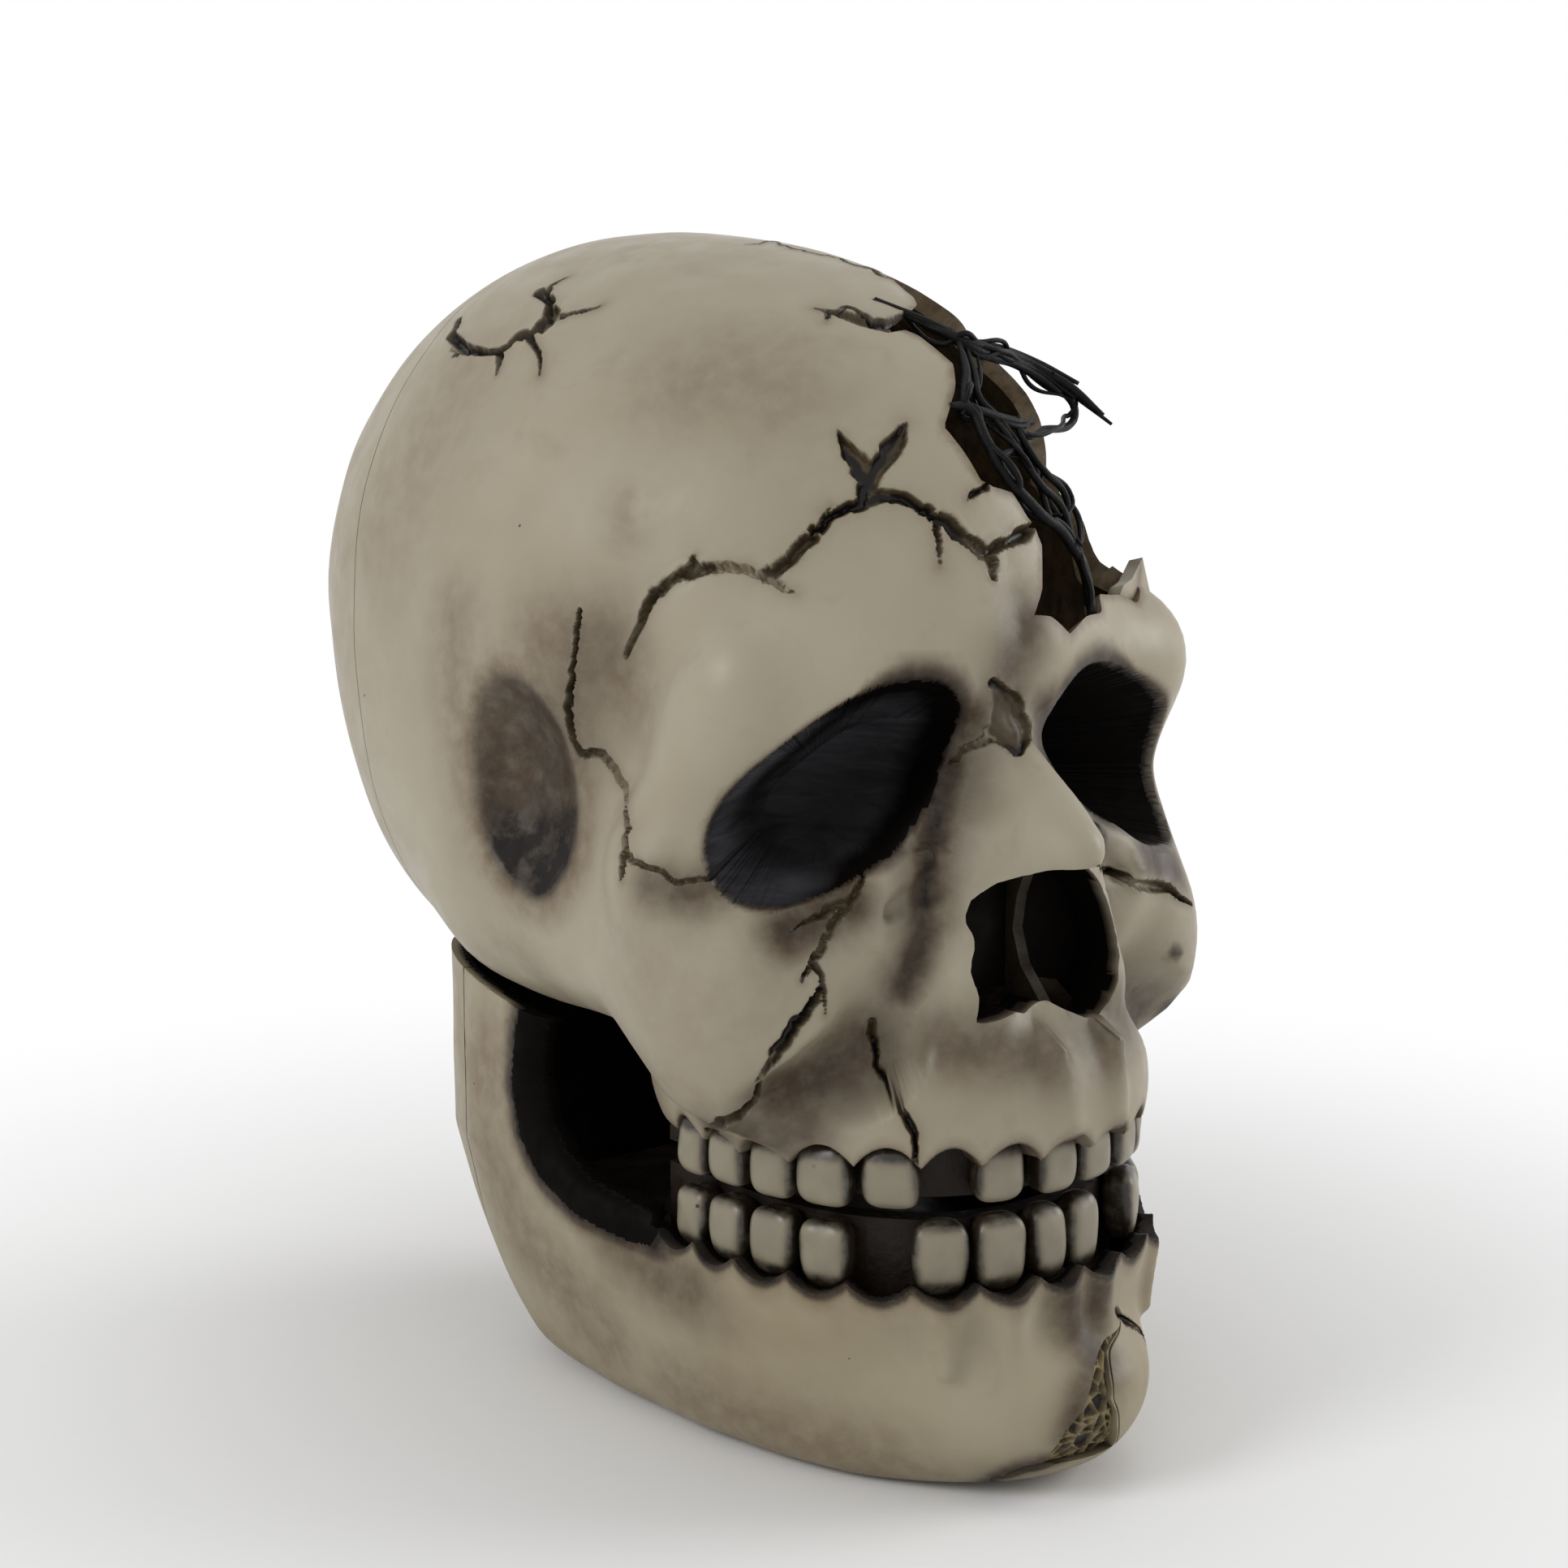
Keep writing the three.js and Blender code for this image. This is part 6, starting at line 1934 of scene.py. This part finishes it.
def jaw_edges(points):
    """Longest edge at each point of the plain jaw, finer at its rim, its branch and the chin."""
    x, y, z = points.T
    limits = np.full(len(points), JAW_EDGE)
    limits[(y < JAW_RIM_BACK_Y) & (np.abs(z - JAW_RIM_Z) < JAW_RIM_REACH)] = JAW_RIM_EDGE
    limits[(np.abs(x) < JAW_CHIN_SIDE) & (y < JAW_CHIN_BACK_Y) & (z < JAW_CHIN_TOP_Z)] = JAW_CHIN_EDGE
    limits[(mouth_edge_gap(y, z) < NEAR_BRANCH) & (y > BRANCH_FRONT_Y)] = JAW_RIM_EDGE
    return limits


def flake_room():
    """Outline of the flake with a little play around it."""
    middle_x, middle_z = FLAKE_MIDDLE
    outline = []
    for x, z in CHIN_FLAKE:
        play_x = FLAKE_PLAY if x > middle_x else -FLAKE_PLAY
        play_z = FLAKE_PLAY if z > middle_z else -FLAKE_PLAY
        outline.append((x + play_x, z + play_z))
    return outline


class SKULL_OT_jaw(Operator):
    """Makes the front and rear shells of the jaw and the flake at the chin"""
    bl_idname = "skull.jaw"
    bl_label = "Jaw shells"

    def execute(self, context):
        sizes = context.scene.skull_sizes
        colours = context.scene.skull_colours
        path = scaled_path(crack_path(JAW_CRACKS, jaw_field, True, JAW_CRACK_SEED), sizes.crack_scale)
        outer = star_mesh(jaw_solid, JAW_CENTRE, JAW_REACH, sizes.shell_detail, jaw_edges, passes=3)
        uneven_surface(outer, amount=0.2, wave=8.0)
        sink_cracks(outer, path, False)
        whole = new_piece("jaw_bone", outer)
        hollow = star_mesh(jaw_hollow, JAW_CENTRE, JAW_REACH, HOLLOW_DETAIL)
        carve(whole, new_piece("hollow", hollow))
        carve(whole, side_prism(MOUTH_EDGE))
        carve(whole, lid_tool())
        carve(whole, plate_tool())
        flake = copy_piece(whole, "chin_flake")
        rear = copy_piece(whole, "jaw_rear_bone")
        carve(whole, box_tool(*BEHIND_JAW_SEAM))
        carve(whole, front_prism(CHIN_GAP, CHIN_FRONT_Y, CHIN_BACK_Y))
        room = rounded(flake_room(), FLAKE_ROUNDING)
        carve(whole, front_prism(room, CHIN_FRONT_Y, CHIN_BACK_Y))
        edge = rounded(CHIN_FLAKE, FLAKE_ROUNDING)
        carve(flake, front_prism(edge, CHIN_FRONT_Y, CHIN_BACK_Y), "INTERSECT")
        carve(rear, box_tool(*AHEAD_OF_JAW_SEAM))
        carve(rear, box_tool(*MIDDLE_ROOM))
        outer_knuckle = (OUTER_KNUCKLE_START, OUTER_KNUCKLE_END)
        for low, high in (outer_knuckle, (-OUTER_KNUCKLE_END, -OUTER_KNUCKLE_START)):
            carve(rear, barrel_tool(low, high, KNUCKLE_RADIUS), "UNION")
            carve(rear, box_tool((low, *OUTER_STRAP[0]), (high, *OUTER_STRAP[1])), "UNION")
        carve(rear, bore_tool())
        material = bone_material("jaw_bone", colours, colours.jaw_bone, colours.jaw_shade, colours.mouth)
        black = socket_paint("mouth_paint", colours)
        for piece, node in ((whole, "jaw_front_shell"), (rear, "jaw_rear_shell"), (flake, "chin_chip")):
            keep_largest(piece)
            if piece is whole:
                soften_edges(piece, sharp_angle=0.6, low_z=30, times=2)
            smooth_shaded(piece, SHARP_DEGREES)
            hollow_marks = paint_jaw(piece, path)
            finish_piece(piece, material, "jaw", "jaw_shell", node)
            black_faces(piece, hollow_marks, black)
        return {"FINISHED"}


MARROW_SPARE = 2
MARROW_HALF_SIZE = 12
MARROW_MIDDLE = (-0.5, 17)
MARROW_CELLS = 110
MARROW_SEED = 3
CELL_SIDES = (-12.5, 11.5)
CELL_HEIGHTS = (5, 29)
CELL_WALL = Fade(0.75, 0.1)
CELL_DEPTH = 1.1
CELL_PAINT = Fade(0.15, 0.9)
MARROW_SEARCH = (-100.0, -60.0)
MARROW_SEARCH_STEPS = 18


def cell_walls(x, z, seeds):
    """How much farther the second nearest cell is than the nearest one."""
    gaps = np.sort(np.hypot(x[:, None] - seeds[:, 0], z[:, None] - seeds[:, 1]), axis=1)
    return gaps[:, 1] - gaps[:, 0]


def marrow_front(x, z):
    """Front of the marrow, just behind the jaw's face."""
    outside, inside = (np.full(len(x), y) for y in MARROW_SEARCH)

    def behind_face(y):
        return vase_field(np.stack((x, y, z), axis=1)) + MARROW_FACE

    return halved(inside, outside, MARROW_SEARCH_STEPS, behind_face)[1]


class SKULL_OT_marrow(Operator):
    """Makes the honeycomb of marrow in the break of the chin"""
    bl_idname = "skull.marrow"
    bl_label = "Chin marrow"

    def execute(self, context):
        bm = bmesh.new()
        bmesh.ops.create_grid(bm, x_segments=110, y_segments=120, size=1.0)
        bmesh.ops.scale(bm, vec=(MARROW_HALF_SIZE, MARROW_HALF_SIZE, 1), verts=bm.verts)
        places = vertex_array(bm.verts)
        x = places[:, 0] + MARROW_MIDDLE[0]
        z = places[:, 1] + MARROW_MIDDLE[1]
        draws = np.random.default_rng(MARROW_SEED)
        seeds = np.stack([draws.uniform(*span, MARROW_CELLS) for span in (CELL_SIDES, CELL_HEIGHTS)], axis=1)
        wall = faded(CELL_WALL, cell_walls(x, z, seeds))
        face_y = marrow_front(x, z) + CELL_DEPTH * (1 - wall)
        set_vertices(bm.verts, np.stack((x, face_y, z), axis=1))
        for vert in swept(bm):
            vert.co.y = CHIN_BACK_Y - MARROW_SPARE
        piece = new_piece("chin_honeycomb", closed(bm))
        carve(piece, front_prism(CHIN_GAP, CHIN_FRONT_Y, CHIN_BACK_Y - MARROW_SPARE / 2), "INTERSECT")
        smooth_shaded(piece, degrees=50)
        points = piece_points(piece)
        paint(piece, {"cells": faded(CELL_PAINT, cell_walls(points[:, 0], points[:, 2], seeds))})
        material = marrow_material(context.scene.skull_colours)
        finish_piece(piece, material, "jaw", "marrow", "chin_marrow")
        return {"FINISHED"}


# Form of a tooth, in shares of its half sizes and in millimetres
TOOTH_POWER = 3.4
TOOTH_NECK = Fade(0.1, -1.0, 0.13)
TOOTH_BACK = 0.2
TOOTH_BULGE = 0.33
TOOTH_FACE = Fade(-0.2, 0.6)
TOOTH_SET_BACK = 0.5
TOOTH_LEAN = (-0.35, 0.35)
TOOTH_STAND = (-0.3, 0.3)
TOOTH_WEAR = (0.0, 0.7)
WORN_EDGE = Fade(0.3, 1.0)
FIRST_GROOVED = 5
GROOVE_DEPTH = 0.7
GROOVE_EDGE = Fade(0.5, 0.95)
TOOTH_WAVE = 0.14
NECK_GRIME = Fade(0.1, 0.95)
EDGE_GRIME = Fade(0.2, 0.88)
UPPER_TIP_GRIME = Fade(0.6, 0.95, 0.3)
LOWER_TIP_GRIME = Fade(0.6, 0.95, 0.9)
BACK_GRIME = Fade(0.9, 0.1)
TOOTH_FIT = 0.1
UPPER_ROOT = 1.0
LOWER_ROOT = 1.6


def tooth_mesh(distance, width, z_low, z_high, upper, number, detail, seed):
    """A rounded tooth with a full face, a narrower neck and a worn biting edge."""
    bm = bmesh.new()
    bmesh.ops.create_icosphere(bm, subdivisions=detail, radius=1.0)
    unit = vertex_array(bm.verts)
    unit = unit / ((np.abs(unit) ** TOOTH_POWER).sum(axis=1) ** (1 / TOOTH_POWER))[:, None]
    u, v, w = unit.T
    to_bite = -w if upper else w
    to_root = 1 if upper else -1
    draws = np.random.default_rng(seed)
    lean, stand, worn = (draws.uniform(*span) for span in (TOOTH_LEAN, TOOTH_STAND, TOOTH_WEAR))
    narrowed = (1 - faded(TOOTH_NECK, to_bite)) * (1 - TOOTH_BACK * (0.5 - 0.5 * v))
    across = u * narrowed * width / 2 + lean * w
    bulge = TOOTH_BULGE * (1 - u ** 2) * (1 - w ** 2)
    out = v * TOOTH_DEPTH / 2 - TOOTH_DEPTH / 2 - TOOTH_SET_BACK + stand + bulge * faded(TOOTH_FACE, v)
    height = (z_low + z_high) / 2 + w * (z_high - z_low) / 2
    height = height + faded(WORN_EDGE, to_bite) * worn * to_root
    if number >= FIRST_GROOVED:
        groove = GROOVE_DEPTH * np.exp(-((u * 2.2) ** 2 + (v * 2.6) ** 2)) * faded(GROOVE_EDGE, to_bite)
        height = height + groove * to_root
    out = out + TOOTH_WAVE * np.sin(u * 4 + seed) * np.sin(w * 5 + 2 * seed) * np.sin(v * 3 + seed)
    x, y, out_x, out_y = along_arch(distance)
    places = np.stack((x + across * out_y + out * out_x, y - across * out_x + out * out_y, height), axis=1)
    set_vertices(bm.verts, places)
    bmesh.ops.recalc_face_normals(bm, faces=bm.faces)
    grime = strongest(
        faded(EDGE_GRIME, np.maximum(np.abs(u) ** 2.2, faded(NECK_GRIME, -to_bite))),
        faded(UPPER_TIP_GRIME if upper else LOWER_TIP_GRIME, to_bite),
        faded(BACK_GRIME, v),
    )
    return bm, grime


class SKULL_OT_teeth(Operator):
    """Makes the teeth of both rows"""
    bl_idname = "skull.teeth"
    bl_label = "Teeth"

    def execute(self, context):
        sizes = context.scene.skull_sizes
        material = tooth_material(context.scene.skull_colours)
        rows = (
            ("upper", "cranium", UPPER_MIDLINE, UPPER_PLACES, UPPER_WIDTHS),
            ("lower", "jaw", LOWER_MIDLINE, LOWER_PLACES, LOWER_WIDTHS),
        )
        seed = 0
        for row, body, midline, places, widths in rows:
            for side, sign in (("right", -1), ("left", 1)):
                for k, place in enumerate(places):
                    seed += 1
                    node = f"{row}_tooth_{side}_{k + 1}"
                    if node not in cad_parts:
                        continue
                    distance = midline + sign * place
                    low, high = (corner.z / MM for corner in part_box(node))
                    upper = row == "upper"
                    if upper:
                        high = high + UPPER_ROOT
                    else:
                        low = low - LOWER_ROOT
                    width = widths[k] + TOOTH_FIT
                    bm, grime = tooth_mesh(distance, width, low, high, upper, k + 1, sizes.tooth_detail, seed)
                    piece = new_piece(f"{node}_enamel", bm)
                    piece.data.shade_smooth()
                    paint(piece, {"grime": grime})
                    finish_piece(piece, material, body, "tooth", node)
        return {"FINISHED"}


class SKULL_OT_gums(Operator):
    """Gives the dark gums, the septum, the base plate and the hinge pin their finishes"""
    bl_idname = "skull.gums"
    bl_label = "Gums, septum, plate and pin"

    def execute(self, context):
        colours = context.scene.skull_colours
        gum = plain_material(
            "gum_paint", colours.gum, tint(colours.gum, 2.2),
            scale=180, roughness=(0.4, 0.6), relief=0.5, specular=0.2)
        septum = plain_material(
            "septum_bone", tint(colours.inner, 0.12), tint(colours.inner, 0.04),
            scale=160, roughness=(0.5, 0.7), relief=0.4, specular=0.1)
        plate = plain_material(
            "plate_plastic", colours.jaw_shade, tint(colours.jaw_shade, 0.8),
            scale=120, roughness=(0.45, 0.6), relief=0.2)
        pin = plain_material(
            "pin_steel", colours.pin, tint(colours.pin, 0.75),
            scale=300, roughness=(0.25, 0.4), relief=0.1, metallic=1.0)
        finishes = {
            "lower_gum": gum, "upper_gum": gum, "nasal_septum": septum, "base_plate": plate, "hinge_pin": pin,
        }
        for node, material in finishes.items():
            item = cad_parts[node]
            item.data.materials.clear()
            item.data.materials.append(material)
        return {"FINISHED"}


# Each strand has a thinner one that strays beside it
THIN_SHARE = 0.62
THIN_STRAY = 0.9
THIN_SEED = 29
STRAND_END = 0.55


def strand_curve(scale):
    curve = bpy.data.curves.new("strand_paths", "CURVE")
    curve.dimensions = "3D"
    curve.bevel_depth = MM
    curve.bevel_resolution = 3
    curve.resolution_u = 8
    curve.use_fill_caps = True
    wander = np.random.default_rng(THIN_SEED)
    thin = []
    for radius, path in STRANDS:
        thin.append((THIN_SHARE * radius, np.asarray(path) + wander.normal(0, THIN_STRAY, (len(path), 3))))
    for radius, path in (*STRANDS, *thin):
        spline = curve.splines.new("BEZIER")
        spline.bezier_points.add(len(path) - 1)
        for k, (point, place) in enumerate(zip(spline.bezier_points, path)):
            point.co = Vector(place) * MM
            point.handle_left_type = "AUTO"
            point.handle_right_type = "AUTO"
            end = STRAND_END if k in {0, len(path) - 1} else 1.0
            point.radius = radius * scale * end
    return curve


class SKULL_OT_strands(Operator):
    """Makes the black strands that cross the hole in the forehead"""
    bl_idname = "skull.strands"
    bl_label = "Strands"

    def execute(self, context):
        colours = context.scene.skull_colours
        curve = strand_curve(context.scene.skull_sizes.strand_scale)
        shape = bpy.data.objects.new("strand_paths", curve)
        context.scene.collection.objects.link(shape)
        mesh = shown_mesh(shape)
        bpy.data.objects.remove(shape)
        bpy.data.curves.remove(curve)
        piece = bpy.data.objects.new("strand_bundle", mesh)
        context.scene.collection.objects.link(piece)
        with edited(piece) as bm:
            bmesh.ops.remove_doubles(bm, verts=bm.verts, dist=1e-6)
            bmesh.ops.recalc_face_normals(bm, faces=bm.faces)
        mesh.shade_smooth()
        mesh.name = "strand_bundle"
        material = plain_material(
            "strand_black", colours.strand, tint(colours.strand, 2.0),
            scale=600, roughness=(0.35, 0.55), relief=0.3, specular=0.1)
        finish_piece(piece, material, "cranium", "strand", "root_strands")
        return {"FINISHED"}


class SKULL_PT_panel(Panel):
    """Lists the steps that build the skull"""
    bl_idname = "SKULL_PT_panel"
    bl_label = "Skull decoration"
    bl_space_type = "VIEW_3D"
    bl_region_type = "UI"
    bl_category = "Skull"

    def draw(self, context):
        layout = self.layout
        for step in STEPS:
            layout.operator(step.bl_idname)
        for group in (context.scene.skull_sizes, context.scene.skull_colours):
            box = layout.box()
            for name in group.bl_rna.properties.keys():
                if name not in {"rna_type", "name"}:
                    box.prop(group, name)


STEPS = (
    SKULL_OT_stage, SKULL_OT_cranium, SKULL_OT_jaw, SKULL_OT_marrow, SKULL_OT_teeth, SKULL_OT_gums,
    SKULL_OT_strands,
)
CLASSES = (SkullSizes, SkullColours, *STEPS, SKULL_PT_panel)


def register():
    for item in CLASSES:
        bpy.utils.register_class(item)
    bpy.types.Scene.skull_sizes = PointerProperty(type=SkullSizes)
    bpy.types.Scene.skull_colours = PointerProperty(type=SkullColours)


def unregister():
    del bpy.types.Scene.skull_colours
    del bpy.types.Scene.skull_sizes
    for item in reversed(CLASSES):
        bpy.utils.unregister_class(item)


def main():
    register()
    bpy.ops.skull.stage()
    bpy.ops.skull.cranium()
    bpy.ops.skull.jaw()
    bpy.ops.skull.marrow()
    bpy.ops.skull.teeth()
    bpy.ops.skull.gums()
    bpy.ops.skull.strands()


if __name__ == "__main__":
    main()
